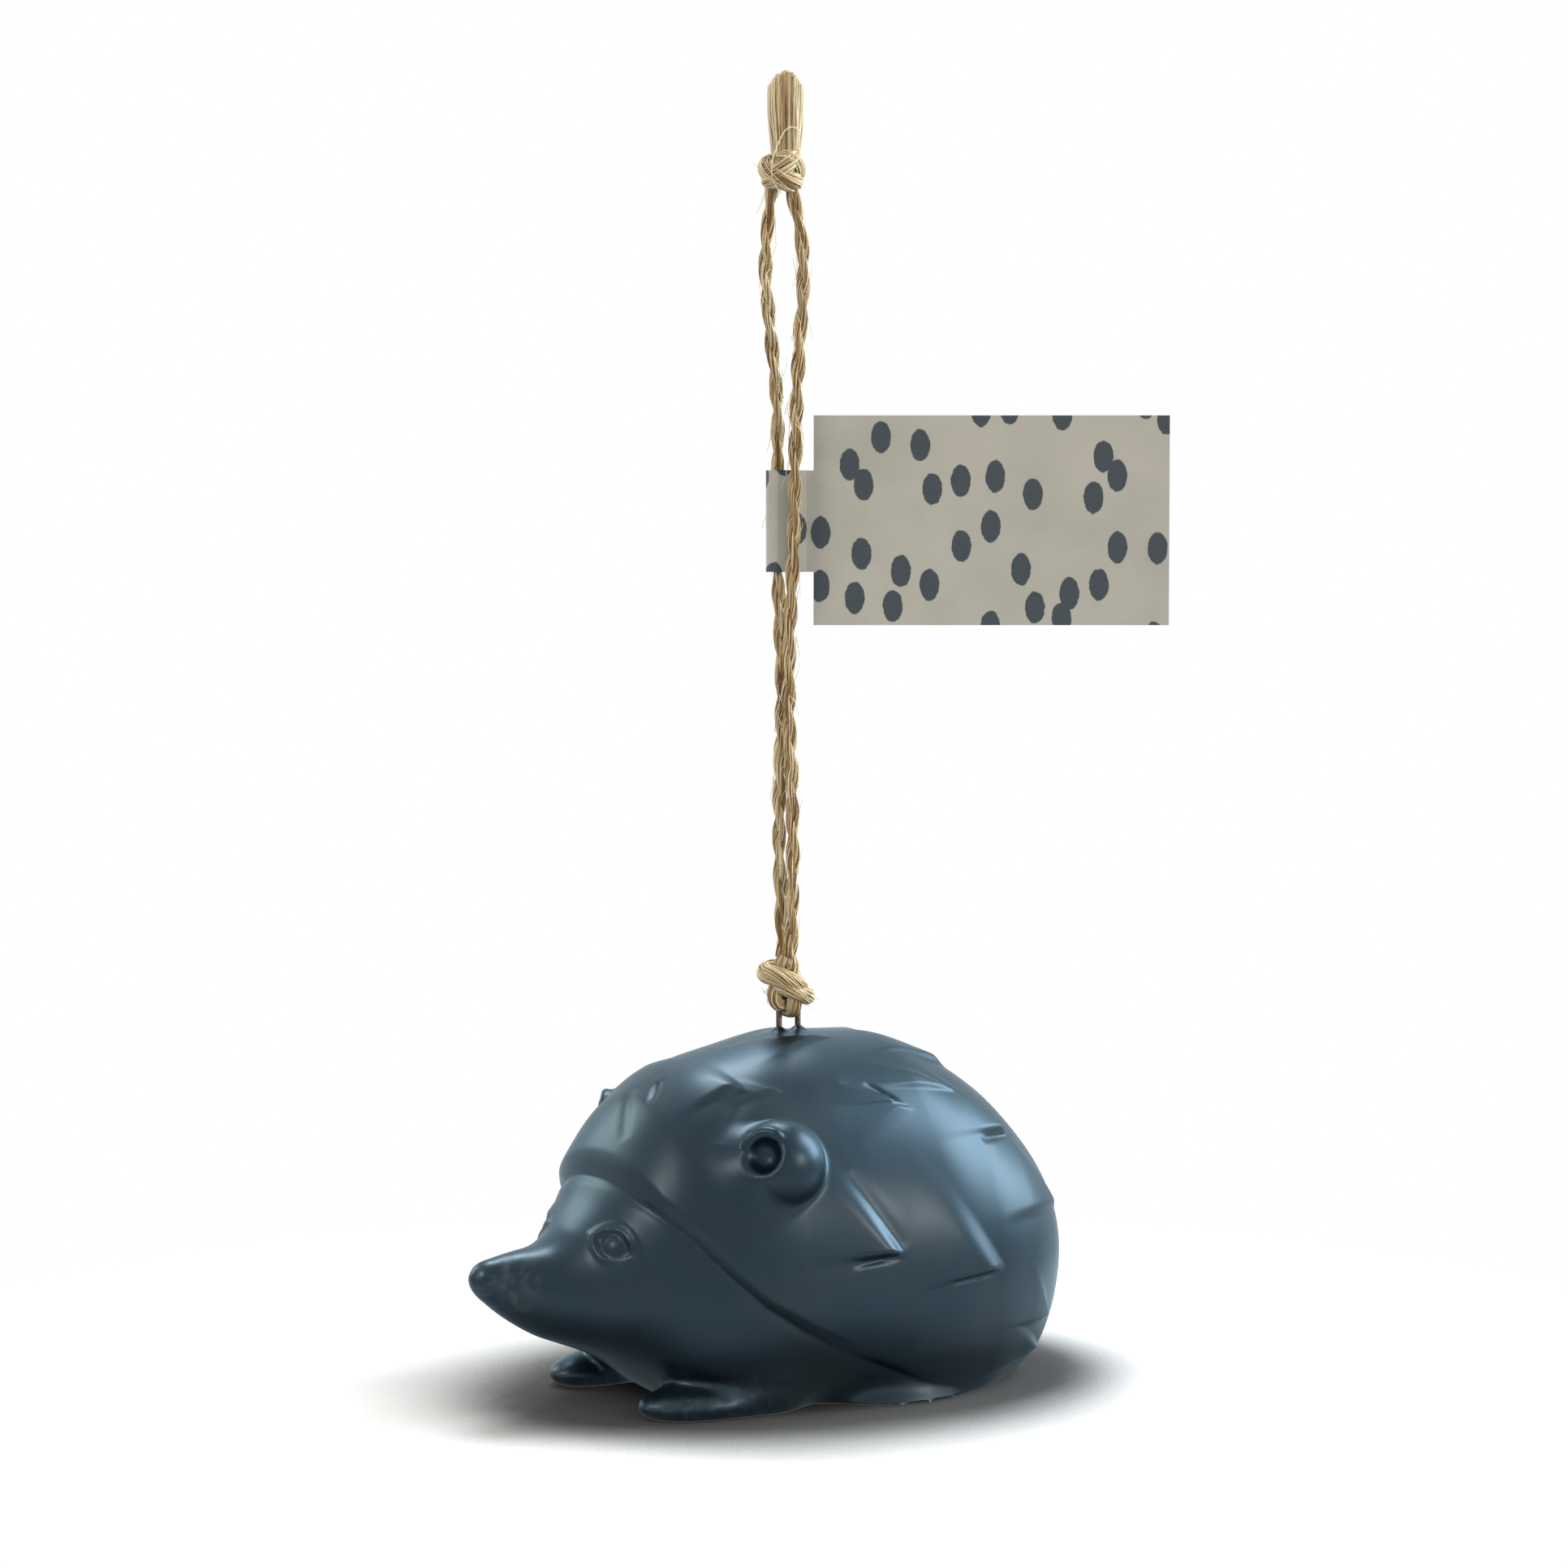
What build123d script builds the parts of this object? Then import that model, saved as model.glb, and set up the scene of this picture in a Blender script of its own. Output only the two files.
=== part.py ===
from build123d import *

import os
from math import copysign, cos, radians, sin, tan

# Hanging hedgehog ornament: a hollow glazed ceramic figure, its wire eye, a knotted loop of jute twine and
# a folded card tag. Millimetres. +Z is up, the hedgehog looks along -X and its left side is towards -Y.
# The origin is the place in the loop, under the top knot, where a hook bears.
os.makedirs("parts", exist_ok=True)

# The figure.
HANG_HEIGHT = 160.0            # hook point above the flat base
BODY_LENGTH = 88.1             # nose tip to rear, without the coat
BODY_HEIGHT = 46.8             # base to back, without the coat
BODY_HALF_WIDTH = 24.9
NOSE_X = -48.3                 # the wire eye is at x = 0
COAT = 1.0                     # how far the quill coat stands out from the smooth skin
BROW = 0.8                     # how much further the coat stands out over the brow
TUFT = 0.8                     # how far the quill tufts stand out from the coat
WALL = 3.0                     # thickness of the slip casting
NOSE_RADIUS = 2.3
EAR_RADIUS = 5.8
EAR_HOLLOW_RADIUS = 2.6
EAR_HOLLOW_OUT = 5.0           # the hollow's middle is this far out of the ear's middle
EYEBALL_RADIUS = 1.8
EYEBALL_DEPTH = 1.4            # the eyeball's middle is this far under the skin
LID_RADIUS = 1.9
LID_THICKNESS = 0.45
PAW_LENGTH = 19.4
PAW_RADIUS = 4.8
PAW_TURN = 9.0
FORELEG_LENGTH = 11.0
FORELEG_RADIUS = 4.3
SHOULDER_LENGTH = 16.8
SHOULDER_RADIUS = 5.6
SHOULDER_TURN = 10.0
HIND_FOOT_LENGTH = 16.0
HIND_FOOT_RADIUS = 4.6
HIND_FOOT_TURN = 14.0
VENT_RADIUS = 2.0              # hole in the base that lets the air out in the kiln

# Stations along the body: place along the length, top, underside, half-width and height of the widest
# place, as shares of the length, the height, the height, the half-width and the height, and last how
# square the section's upper half is, as a share of an ellipse's exponent.
STATION_SHARES = (
    (0.009, 0.423, 0.346, 0.068, 0.389, 1.0),
    (0.032, 0.444, 0.303, 0.116, 0.380, 1.0),
    (0.066, 0.457, 0.256, 0.169, 0.368, 1.0),
    (0.106, 0.468, 0.214, 0.241, 0.350, 1.05),
    (0.145, 0.502, 0.184, 0.337, 0.338, 1.1),
    (0.179, 0.571, 0.158, 0.458, 0.333, 1.15),
    (0.208, 0.656, 0.132, 0.554, 0.333, 1.15),
    (0.236, 0.744, 0.098, 0.643, 0.333, 1.15),
    (0.276, 0.835, 0.047, 0.739, 0.333, 1.125),
    (0.344, 0.917, -0.021, 0.851, 0.333, 1.1),
    (0.435, 0.966, -0.064, 0.936, 0.338, 1.05),
    (0.548, 1.000, -0.128, 0.988, 0.346, 1.0),
    (0.662, 0.989, -0.299, 1.000, 0.350, 1.0),
    (0.753, 0.929, -0.246, 0.968, 0.350, 1.0),
    (0.832, 0.844, -0.128, 0.876, 0.350, 1.0),
    (0.900, 0.726, -0.064, 0.719, 0.355, 1.0),
    (0.951, 0.611, 0.047, 0.518, 0.355, 1.0),
    (0.982, 0.504, 0.167, 0.317, 0.350, 1.0),
    (0.998, 0.406, 0.271, 0.104, 0.346, 1.0),
)
# Turns at which each section's outline is pinned, as shares of a full turn.
OUTLINE_SHARES = (0.0, 0.06, 0.12, 0.18, 0.25, 0.32, 0.38, 0.44, 0.5, 0.58, 0.67, 0.75, 0.83, 0.92)

# The front edge of the coat in side view, from above the brow down to the belly, as shares of the length
# from the nose and of the height.
HOOD_SHARES = (
    (0.194, 0.769), (0.200, 0.688), (0.217, 0.609), (0.254, 0.528), (0.302, 0.421), (0.355, 0.325),
    (0.419, 0.248), (0.507, 0.160), (0.631, 0.062), (0.707, 0.026), (0.843, -0.021),
)
BROW_POINTS = 4                # the first ones of them, along which the brow stands out further
BROW_REAR_SHARES = (0.320, 0.620)
HOOD_ABOVE_SHARE = 1.5         # well above the back
# Quill tufts in side view: tip, then upper and lower root corner, in the same shares.
TUFT_SHARES = (
    ((0.561, 0.444), (0.440, 0.748), (0.412, 0.437)),
    ((0.743, 0.370), (0.599, 0.694), (0.571, 0.331)),
    ((0.824, 0.725), (0.696, 0.940), (0.662, 0.739)),
    ((0.927, 0.492), (0.809, 0.761), (0.741, 0.498)),
    ((0.632, 0.839), (0.525, 0.915), (0.509, 0.800)),
    ((0.755, 0.841), (0.565, 0.967), (0.554, 0.885)),
    ((0.787, 0.902), (0.616, 1.060), (0.594, 0.961)),
    ((0.889, 0.198), (0.815, 0.397), (0.730, 0.237)),
    ((0.889, 0.104), (0.753, 0.269), (0.730, 0.123)),
    ((0.385, 0.888), (0.355, 0.980), (0.270, 0.783)),
)
# Places of the features, as shares of the figure's length, half-width and height.
EAR_SHARES = (0.396, 0.787, 0.709)
EYE_SHARES = (0.178, 0.369, 0.485)
PAW_SHARES = (0.316, 0.530, -0.006)
FORELEG_SHARES = (0.406, 0.586, 0.064)
SHOULDER_SHARES = (0.355, 0.514, 0.188)
HIND_FOOT_SHARES = (0.611, 0.731, -0.053)
NOSE_SHARES = (0.023, 0.0, 0.387)
VENT_SHARES = (0.600, 0.0, 0.0)
# The ways that the near ear's hollow and the near eye face.
EAR_OPENING_SHARES = (-0.82, -0.46, 0.34)
EYE_FACING_SHARES = (-0.76, -0.53, 0.37)

# The wire eye.
WIRE_RADIUS = 0.4
EYE_RISE = 4.2                 # centre of the eye's top bar above the back
EYE_BEND_RADIUS = 0.6
LEG_DEPTH = 2.4                # how deep the legs are set in the casting

# The twine.
TWINE_RADIUS = 0.95
BIGHT_RADIUS = 0.8             # the twine squeezed in the eye
AIR = 0.3                      # clear gap between pieces that move
LOWER_KNOT_RADIUS = 2.4
LOWER_LOBE_RADIUS = 1.6
TOP_KNOT_RADIUS = 2.6
TOP_LOBE_RADIUS = 1.95
TOP_KNOT_ACROSS = -1.0
CROTCH_RISE = 0.9              # lowest part of the top knot above the hook point
TAIL_RADIUS = 1.1              # the cut ends, untwisted and thicker
TAIL_LENGTH = 11.4
TAIL_ACROSS = -0.25            # the middle between the two cut ends
TAIL_GAP = 0.1
TAIL_SPREAD = 0.15             # how far each one leans out at its top
TAIL_ROUNDING_SHARE = 0.6
TAIL_FOOT_SHARE = 0.65         # the cut ends start this share of the knot's radius above its middle
BEND_SHARE = 0.45              # share of a run that its bend takes up
LOOP_TURN = 32.0               # the loop's and the tag's plane is turned this far from the figure's length

# The card tag.
TAG_LENGTH = 48.1
TAG_HEIGHT = 28.3
CARD = 0.35                    # one leaf
NECK_DEPTH = 50.0              # the neck's lower edge below the hook point
NECK_HEIGHT = 13.7
NECK_LENGTH = 4.85             # from the strand's middle to the wide part
NECK_JOIN_SHARE = 0.80         # how far along the neck its two sides meet
TAG_DROP = 7.2                 # the wide part reaches this far below the neck
TAG_TRAVEL = 10.0              # how far the tag slides up its strand

# The strand in the tag's neck: its place along the loop's plane and towards the viewer.
CORE_ACROSS = -1.45
CORE_TOWARDS = -1.0


def loop_point(across, towards, height):
    """A point given along the plane of the loop, towards the viewer, and above the hook point."""
    turn = radians(LOOP_TURN)
    return (
        across * cos(turn) - towards * sin(turn),
        -across * sin(turn) - towards * cos(turn),
        height,
    )


def section_points(station, grow):
    """The outline of one station, with its skin moved out by grow."""
    place, top, under, half, wide, square = station
    middle = wide * BODY_HEIGHT
    up = top * BODY_HEIGHT - middle + grow
    down = middle - under * BODY_HEIGHT + grow
    across = half * BODY_HALF_WIDTH + grow
    points = []
    for share in OUTLINE_SHARES:
        turn = radians(360 * share)
        rise, power = (up, 1 / square) if sin(turn) >= 0 else (down, 1)
        aside = copysign(abs(cos(turn)) ** power, cos(turn))
        above = copysign(abs(sin(turn)) ** power, sin(turn))
        points.append((across * aside, middle + rise * above - HANG_HEIGHT))
    return points


def body_plane(place):
    return Plane(origin=(NOSE_X + place * BODY_LENGTH, 0, 0), x_dir=(0, 1, 0), z_dir=(1, 0, 0))


def side_point(along, height):
    return (NOSE_X + along * BODY_LENGTH, height * BODY_HEIGHT - HANG_HEIGHT)


def body_point(place, side):
    """A point given as shares of the figure's length, half-width and height, on one side of it."""
    return (
        NOSE_X + place[0] * BODY_LENGTH,
        side * place[1] * BODY_HALF_WIDTH,
        place[2] * BODY_HEIGHT - HANG_HEIGHT,
    )


def bends(name, points):
    """The radius at each corner of a twine line: as large as the two runs beside it allow."""
    runs = []
    for first, second in zip(points[:-1], points[1:]):
        runs.append(Vector(*second) - Vector(*first))
    radii = []
    for first, second in zip(runs[:-1], runs[1:]):
        shorter = min(first.length, second.length)
        radii.append(BEND_SHARE * shorter / tan(radians(first.get_angle(second)) / 2))
    print(name, "bend radii", [round(radius) for radius in radii])
    return radii


# The skin of the figure, without its coat.
with BuildPart() as skin:
    for station in STATION_SHARES:
        with BuildSketch(body_plane(station[0])):
            with BuildLine():
                Spline(*section_points(station, 0), periodic=True)
            make_face()
    loft()

# The coat: the same form a little larger, kept only behind the hood line.
with BuildPart() as coat:
    for station in STATION_SHARES[3:]:
        with BuildSketch(body_plane(station[0])):
            with BuildLine():
                Spline(*section_points(station, COAT), periodic=True)
            make_face()
    loft()
    with BuildSketch(Plane.XZ):
        with BuildLine():
            hood = Spline(*[side_point(*point) for point in HOOD_SHARES])
            Polyline(
                hood @ 1,
                side_point(HOOD_ABOVE_SHARE, HOOD_SHARES[-1][1]),
                side_point(HOOD_ABOVE_SHARE, HOOD_ABOVE_SHARE),
                side_point(HOOD_SHARES[0][0], HOOD_ABOVE_SHARE),
                hood @ 0,
            )
        make_face()
    extrude(amount=2 * BODY_HALF_WIDTH, both=True, mode=Mode.INTERSECT)

# The brow: larger again, kept only in a band behind the upper hood line.
with BuildPart() as brow:
    for station in STATION_SHARES[3:]:
        with BuildSketch(body_plane(station[0])):
            with BuildLine():
                Spline(*section_points(station, COAT + BROW), periodic=True)
            make_face()
    loft()
    with BuildSketch(Plane.XZ):
        with BuildLine():
            brow_line = Spline(*[side_point(*point) for point in HOOD_SHARES[:BROW_POINTS]])
            Polyline(
                brow_line @ 1,
                side_point(*BROW_REAR_SHARES),
                side_point(BROW_REAR_SHARES[0], HOOD_ABOVE_SHARE),
                side_point(HOOD_SHARES[0][0], HOOD_ABOVE_SHARE),
                brow_line @ 0,
            )
        make_face()
    extrude(amount=2 * BODY_HALF_WIDTH, both=True, mode=Mode.INTERSECT)

# The tufts: larger than the coat, kept only inside the tufts' outlines.
with BuildPart() as tufts:
    for station in STATION_SHARES[3:]:
        with BuildSketch(body_plane(station[0])):
            with BuildLine():
                Spline(*section_points(station, COAT + TUFT), periodic=True)
            make_face()
    loft()
    with BuildSketch(Plane.XZ):
        for tip, upper, lower in TUFT_SHARES:
            with BuildLine():
                Polyline(side_point(*tip), side_point(*upper), side_point(*lower), close=True)
            make_face()
    extrude(amount=2 * BODY_HALF_WIDTH, both=True, mode=Mode.INTERSECT)

# The hollow left by pouring out the slip; the snout stays solid.
with BuildPart() as hollow:
    for station in STATION_SHARES[7:-2]:
        with BuildSketch(body_plane(station[0])):
            with BuildLine():
                Spline(*section_points(station, COAT - WALL), periodic=True)
            make_face()
    loft()
    split(bisect_by=Plane.XY.offset(WALL - HANG_HEIGHT), keep=Keep.TOP)

BACK_Z = BODY_HEIGHT + COAT - HANG_HEIGHT
LEG_BOTTOM = BACK_Z - LEG_DEPTH
EYE_Z = BACK_Z + EYE_RISE
EYE_HALF_SPAN = BIGHT_RADIUS + AIR + WIRE_RADIUS

# The whole casting: skin, coat, brow, tufts, nose, ears, eyes and feet, hollowed, flat underneath.
with BuildPart() as hedgehog_body:
    add(skin.part)
    add(coat.part)
    add(brow.part)
    add(tufts.part)
    with Locations(body_point(NOSE_SHARES, 1)):
        Sphere(NOSE_RADIUS)
    for side in (-1, 1):
        ear_middle = Vector(*body_point(EAR_SHARES, side))
        opening = Vector(
            EAR_OPENING_SHARES[0], -side * EAR_OPENING_SHARES[1], EAR_OPENING_SHARES[2]
        ).normalized()
        with Locations(ear_middle):
            Sphere(EAR_RADIUS)
        with Locations(ear_middle + opening * EAR_HOLLOW_OUT):
            Sphere(EAR_HOLLOW_RADIUS, mode=Mode.SUBTRACT)
        eye = Vector(*body_point(EYE_SHARES, side))
        facing = Vector(
            EYE_FACING_SHARES[0], -side * EYE_FACING_SHARES[1], EYE_FACING_SHARES[2]
        ).normalized()
        with Locations(eye - facing * EYEBALL_DEPTH):
            Sphere(EYEBALL_RADIUS)
        with Locations(Plane(origin=eye, z_dir=facing)):
            Torus(LID_RADIUS, LID_THICKNESS)
        for place, turn, length, radius in (
            (PAW_SHARES, PAW_TURN, PAW_LENGTH, PAW_RADIUS),
            (FORELEG_SHARES, 0, FORELEG_LENGTH, FORELEG_RADIUS),
            (SHOULDER_SHARES, SHOULDER_TURN, SHOULDER_LENGTH, SHOULDER_RADIUS),
            (HIND_FOOT_SHARES, HIND_FOOT_TURN, HIND_FOOT_LENGTH, HIND_FOOT_RADIUS),
        ):
            along = (cos(radians(turn)), side * sin(radians(turn)), 0)
            foot_plane = Plane(origin=body_point(place, side), x_dir=along, z_dir=(0, 0, 1))
            with BuildSketch(foot_plane):
                Ellipse(length / 2, radius)
                Rectangle(length, radius, align=(Align.CENTER, Align.MAX), mode=Mode.SUBTRACT)
            revolve(axis=Axis(body_point(place, side), along))
    add(hollow.part, mode=Mode.SUBTRACT)
    split(bisect_by=Plane.XY.offset(-HANG_HEIGHT), keep=Keep.TOP)
    with Locations(body_point(VENT_SHARES, 1)):
        Cylinder(VENT_RADIUS, 4 * WALL, mode=Mode.SUBTRACT)
    with Locations((-EYE_HALF_SPAN, 0, LEG_BOTTOM), (EYE_HALF_SPAN, 0, LEG_BOTTOM)):
        Cylinder(
            WIRE_RADIUS,
            2 * LEG_DEPTH,
            align=(Align.CENTER, Align.CENTER, Align.MIN),
            mode=Mode.SUBTRACT,
        )

# The iron wire eye, both legs set in the casting.
with BuildPart() as wire_eye:
    with BuildLine() as eye_line:
        FilletPolyline(
            (-EYE_HALF_SPAN, 0, LEG_BOTTOM),
            (-EYE_HALF_SPAN, 0, EYE_Z),
            (EYE_HALF_SPAN, 0, EYE_Z),
            (EYE_HALF_SPAN, 0, LEG_BOTTOM),
            radius=EYE_BEND_RADIUS,
        )
    with BuildSketch(Plane(origin=(-EYE_HALF_SPAN, 0, LEG_BOTTOM), z_dir=(0, 0, 1))):
        Circle(WIRE_RADIUS)
    sweep(path=eye_line.wires()[0])

# Lower knot: a round middle that the bight swings on, and two lobes of twine beside it.
KNOT_Z = EYE_Z + WIRE_RADIUS + AIR + LOWER_KNOT_RADIUS
# Each lobe's place from the knot's middle, as shares of the knot's radius.
LOWER_LOBE_SHARES = ((-1.0, 0.04, 0.15), (0.73, 0.21, 0.06))
LOBE_POLE_SHARES = (0.3, 0.9, 0.2)
with BuildPart() as twine_lower_knot:
    with Locations((0, 0, KNOT_Z)):
        Sphere(LOWER_KNOT_RADIUS)
    for across, towards, up in LOWER_LOBE_SHARES:
        lobe = loop_point(
            across * LOWER_KNOT_RADIUS,
            towards * LOWER_KNOT_RADIUS,
            KNOT_Z + up * LOWER_KNOT_RADIUS,
        )
        with Locations(Plane(origin=lobe, z_dir=LOBE_POLE_SHARES)):
            Sphere(LOWER_LOBE_RADIUS)

# The bight: the bottom of the twine's loop, round the eye's bar, ending under the knot.
BIGHT_BEND = WIRE_RADIUS + AIR + BIGHT_RADIUS
BIGHT_TOP = EYE_Z + LOWER_KNOT_RADIUS
with BuildPart() as twine_bight:
    with BuildLine() as bight_line:
        Line((0, -BIGHT_BEND, BIGHT_TOP), (0, -BIGHT_BEND, EYE_Z))
        ThreePointArc((0, -BIGHT_BEND, EYE_Z), (0, 0, EYE_Z - BIGHT_BEND), (0, BIGHT_BEND, EYE_Z))
        Line((0, BIGHT_BEND, EYE_Z), (0, BIGHT_BEND, BIGHT_TOP))
    with BuildSketch(Plane(origin=(0, -BIGHT_BEND, BIGHT_TOP), z_dir=(0, 0, -1))):
        Circle(BIGHT_RADIUS)
    sweep(path=bight_line.wires()[0])
    with Locations((0, 0, KNOT_Z)):
        Sphere(LOWER_KNOT_RADIUS + AIR, mode=Mode.SUBTRACT)

# Top knot; the crotch under it is where a hook bears.
TOP_KNOT_Z = CROTCH_RISE + TOP_KNOT_RADIUS
# The side lobe's place from the knot's middle, as shares of the knot's radius.
TOP_LOBE_SHARES = (-0.52, 0.0, -0.12)
with BuildPart() as twine_top_knot:
    with Locations(loop_point(TOP_KNOT_ACROSS, 0, TOP_KNOT_Z)):
        Sphere(TOP_KNOT_RADIUS)
    top_lobe = loop_point(
        TOP_KNOT_ACROSS + TOP_LOBE_SHARES[0] * TOP_KNOT_RADIUS,
        TOP_LOBE_SHARES[1] * TOP_KNOT_RADIUS,
        TOP_KNOT_Z + TOP_LOBE_SHARES[2] * TOP_KNOT_RADIUS,
    )
    with Locations(Plane(origin=top_lobe, z_dir=LOBE_POLE_SHARES)):
        Sphere(TOP_LOBE_RADIUS)

# The strands' lines: along the plane of the loop, towards the viewer, and above the hook point. The twine
# carries the figure, so its runs are as long as its straight stretches.
CORE_BOTTOM = -NECK_DEPTH - AIR
CORE_TOP = -NECK_DEPTH + NECK_HEIGHT + AIR
STRAND_END = KNOT_Z + LOWER_KNOT_RADIUS + AIR
LEFT_ROUTE = (
    (-2.15, -0.10, 2.2),
    (-3.35, -0.50, -6.0),
    (-2.75, -0.85, -15.5),
    (CORE_ACROSS, CORE_TOWARDS, CORE_TOP + TAG_TRAVEL),
    (CORE_ACROSS, CORE_TOWARDS, CORE_TOP + AIR),
)
LEFT_LOWER_ROUTE = (
    (CORE_ACROSS, CORE_TOWARDS, CORE_BOTTOM - AIR),
    (-1.05, -0.98, -59.0),
    (-0.85, -0.88, -68.0),
    (-1.22, -0.50, -78.0),
    (-1.25, -0.36, -88.5),
    (-0.95, -0.66, -96.0),
    (-0.80, -0.78, STRAND_END),
)
RIGHT_ROUTE = (
    (0.10, 0.15, 2.2),
    (1.75, 0.40, -4.0),
    (2.10, 0.75, -10.5),
    (1.45, 1.35, -19.5),
    (1.00, 1.60, -29.0),
    (0.85, 1.62, -39.0),
    (0.60, 1.60, -49.0),
    (0.15, 1.25, -58.5),
    (0.00, 0.95, -68.0),
    (0.50, 0.48, -78.0),
    (0.62, 0.34, -88.5),
    (0.52, 0.74, -96.0),
    (0.35, 0.90, STRAND_END),
)

with BuildPart() as twine_left_strand:
    line_points = [loop_point(*point) for point in LEFT_ROUTE]
    with BuildLine() as left_line:
        FilletPolyline(*line_points, radius=bends("left strand", line_points))
    with BuildSketch(Plane(origin=left_line.line @ 0, z_dir=left_line.line % 0)):
        Circle(TWINE_RADIUS)
    sweep(path=left_line.wires()[0])
    add(twine_top_knot.part, mode=Mode.SUBTRACT)

with BuildPart() as twine_left_lower_strand:
    line_points = [loop_point(*point) for point in LEFT_LOWER_ROUTE]
    with BuildLine() as left_lower_line:
        FilletPolyline(*line_points, radius=bends("left lower strand", line_points))
    with BuildSketch(Plane(origin=left_lower_line.line @ 0, z_dir=left_lower_line.line % 0)):
        Circle(TWINE_RADIUS)
    sweep(path=left_lower_line.wires()[0])

with BuildPart() as twine_right_strand:
    line_points = [loop_point(*point) for point in RIGHT_ROUTE]
    with BuildLine() as right_line:
        FilletPolyline(*line_points, radius=bends("right strand", line_points))
    with BuildSketch(Plane(origin=right_line.line @ 0, z_dir=right_line.line % 0)):
        Circle(TWINE_RADIUS)
    sweep(path=right_line.wires()[0])
    add(twine_top_knot.part, mode=Mode.SUBTRACT)

# The short stretch of the left strand that the tag's neck is folded round.
with BuildPart() as twine_neck_core:
    with Locations(loop_point(CORE_ACROSS, CORE_TOWARDS, CORE_BOTTOM)):
        Cylinder(
            TWINE_RADIUS,
            CORE_TOP - CORE_BOTTOM,
            align=(Align.CENTER, Align.CENTER, Align.MIN),
        )

# The two cut ends above the top knot.
TAIL_BOTTOM = TOP_KNOT_Z + TAIL_FOOT_SHARE * TOP_KNOT_RADIUS
with BuildPart() as twine_tails:
    for side in (-1, 1):
        tail_across = TAIL_ACROSS + side * (TAIL_RADIUS + TAIL_GAP / 2)
        foot = Vector(*loop_point(tail_across, 0, TAIL_BOTTOM))
        top = Vector(*loop_point(tail_across + side * TAIL_SPREAD, 0, TAIL_BOTTOM + TAIL_LENGTH))
        with BuildSketch(Plane(origin=foot, z_dir=top - foot)):
            Circle(TAIL_RADIUS)
        extrude(amount=TAIL_LENGTH)
    fillet(
        twine_tails.edges().filter_by(GeomType.CIRCLE).group_by(Axis.Z)[-1],
        radius=TAIL_ROUNDING_SHARE * TAIL_RADIUS,
    )
    add(twine_top_knot.part, mode=Mode.SUBTRACT)

# The tag: two leaves of card glued face to face, and the narrow neck folded round the strand.
LOOP_ALONG = (cos(radians(LOOP_TURN)), -sin(radians(LOOP_TURN)), 0)
TAG_PLANE = Plane(
    origin=loop_point(CORE_ACROSS, CORE_TOWARDS, -NECK_DEPTH),
    x_dir=LOOP_ALONG,
    z_dir=(0, 0, 1),
)
NECK_INSIDE = TWINE_RADIUS + AIR
NECK_OUTSIDE = NECK_INSIDE + CARD
NECK_JOIN = NECK_JOIN_SHARE * NECK_LENGTH
with BuildPart() as swing_tag:
    with BuildSketch(TAG_PLANE):
        with BuildLine():
            Polyline(
                (0, NECK_OUTSIDE),
                (NECK_JOIN, CARD),
                (NECK_LENGTH, CARD),
                (NECK_LENGTH, -CARD),
                (NECK_JOIN, -CARD),
                (0, -NECK_OUTSIDE),
            )
            ThreePointArc((0, -NECK_OUTSIDE), (-NECK_OUTSIDE, 0), (0, NECK_OUTSIDE))
        make_face()
        with BuildLine():
            Polyline((0, NECK_INSIDE), (NECK_JOIN - CARD, 0), (0, -NECK_INSIDE))
            ThreePointArc((0, -NECK_INSIDE), (-NECK_INSIDE, 0), (0, NECK_INSIDE))
        make_face(mode=Mode.SUBTRACT)
    extrude(amount=NECK_HEIGHT)
    with BuildSketch(TAG_PLANE.offset(-TAG_DROP)):
        with Locations((NECK_LENGTH + TAG_LENGTH / 2, 0)):
            Rectangle(TAG_LENGTH, 2 * CARD)
    extrude(amount=TAG_HEIGHT)

for name, piece in (
    ("hedgehog_body", hedgehog_body),
    ("wire_eye", wire_eye),
    ("twine_bight", twine_bight),
    ("twine_lower_knot", twine_lower_knot),
    ("twine_left_lower_strand", twine_left_lower_strand),
    ("twine_neck_core", twine_neck_core),
    ("twine_left_strand", twine_left_strand),
    ("twine_right_strand", twine_right_strand),
    ("twine_top_knot", twine_top_knot),
    ("twine_tails", twine_tails),
    ("swing_tag", swing_tag),
):
    piece.part.label = name
    export_step(piece.part, "parts/" + name + ".step")
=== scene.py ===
import random
from math import cos, pi, radians, sin

import bpy
import numpy as np
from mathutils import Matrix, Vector


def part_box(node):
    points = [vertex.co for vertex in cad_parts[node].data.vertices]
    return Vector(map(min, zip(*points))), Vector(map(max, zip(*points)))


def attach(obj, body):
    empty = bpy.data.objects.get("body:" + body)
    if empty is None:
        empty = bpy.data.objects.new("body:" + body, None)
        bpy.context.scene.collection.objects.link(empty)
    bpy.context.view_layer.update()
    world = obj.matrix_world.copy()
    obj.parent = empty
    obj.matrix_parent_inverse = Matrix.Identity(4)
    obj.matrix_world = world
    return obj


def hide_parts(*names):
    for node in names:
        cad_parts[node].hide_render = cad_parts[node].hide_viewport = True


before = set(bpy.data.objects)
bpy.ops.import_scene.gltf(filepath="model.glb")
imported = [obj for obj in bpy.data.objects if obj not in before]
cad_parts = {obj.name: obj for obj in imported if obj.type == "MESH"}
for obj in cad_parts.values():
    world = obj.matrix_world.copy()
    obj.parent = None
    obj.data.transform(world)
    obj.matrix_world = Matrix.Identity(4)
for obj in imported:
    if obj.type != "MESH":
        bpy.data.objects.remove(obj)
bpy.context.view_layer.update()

random.seed(7)

# Hanging hedgehog ornament, dressed for the studio. Metres, in the model's frame: +Z is up, the hedgehog
# looks along -X, its left side is towards -Y, and the origin is where a hook bears under the top knot.
# Sizes below are in millimetres and are turned into metres by MM.
MM = 0.001

# The height of the floor, from which the figure's heights are counted. The figure's places are counted from
# the wire eye, and only its near side is listed: the far side mirrors it.
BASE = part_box("hedgehog_body")[0][2] / MM

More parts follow.
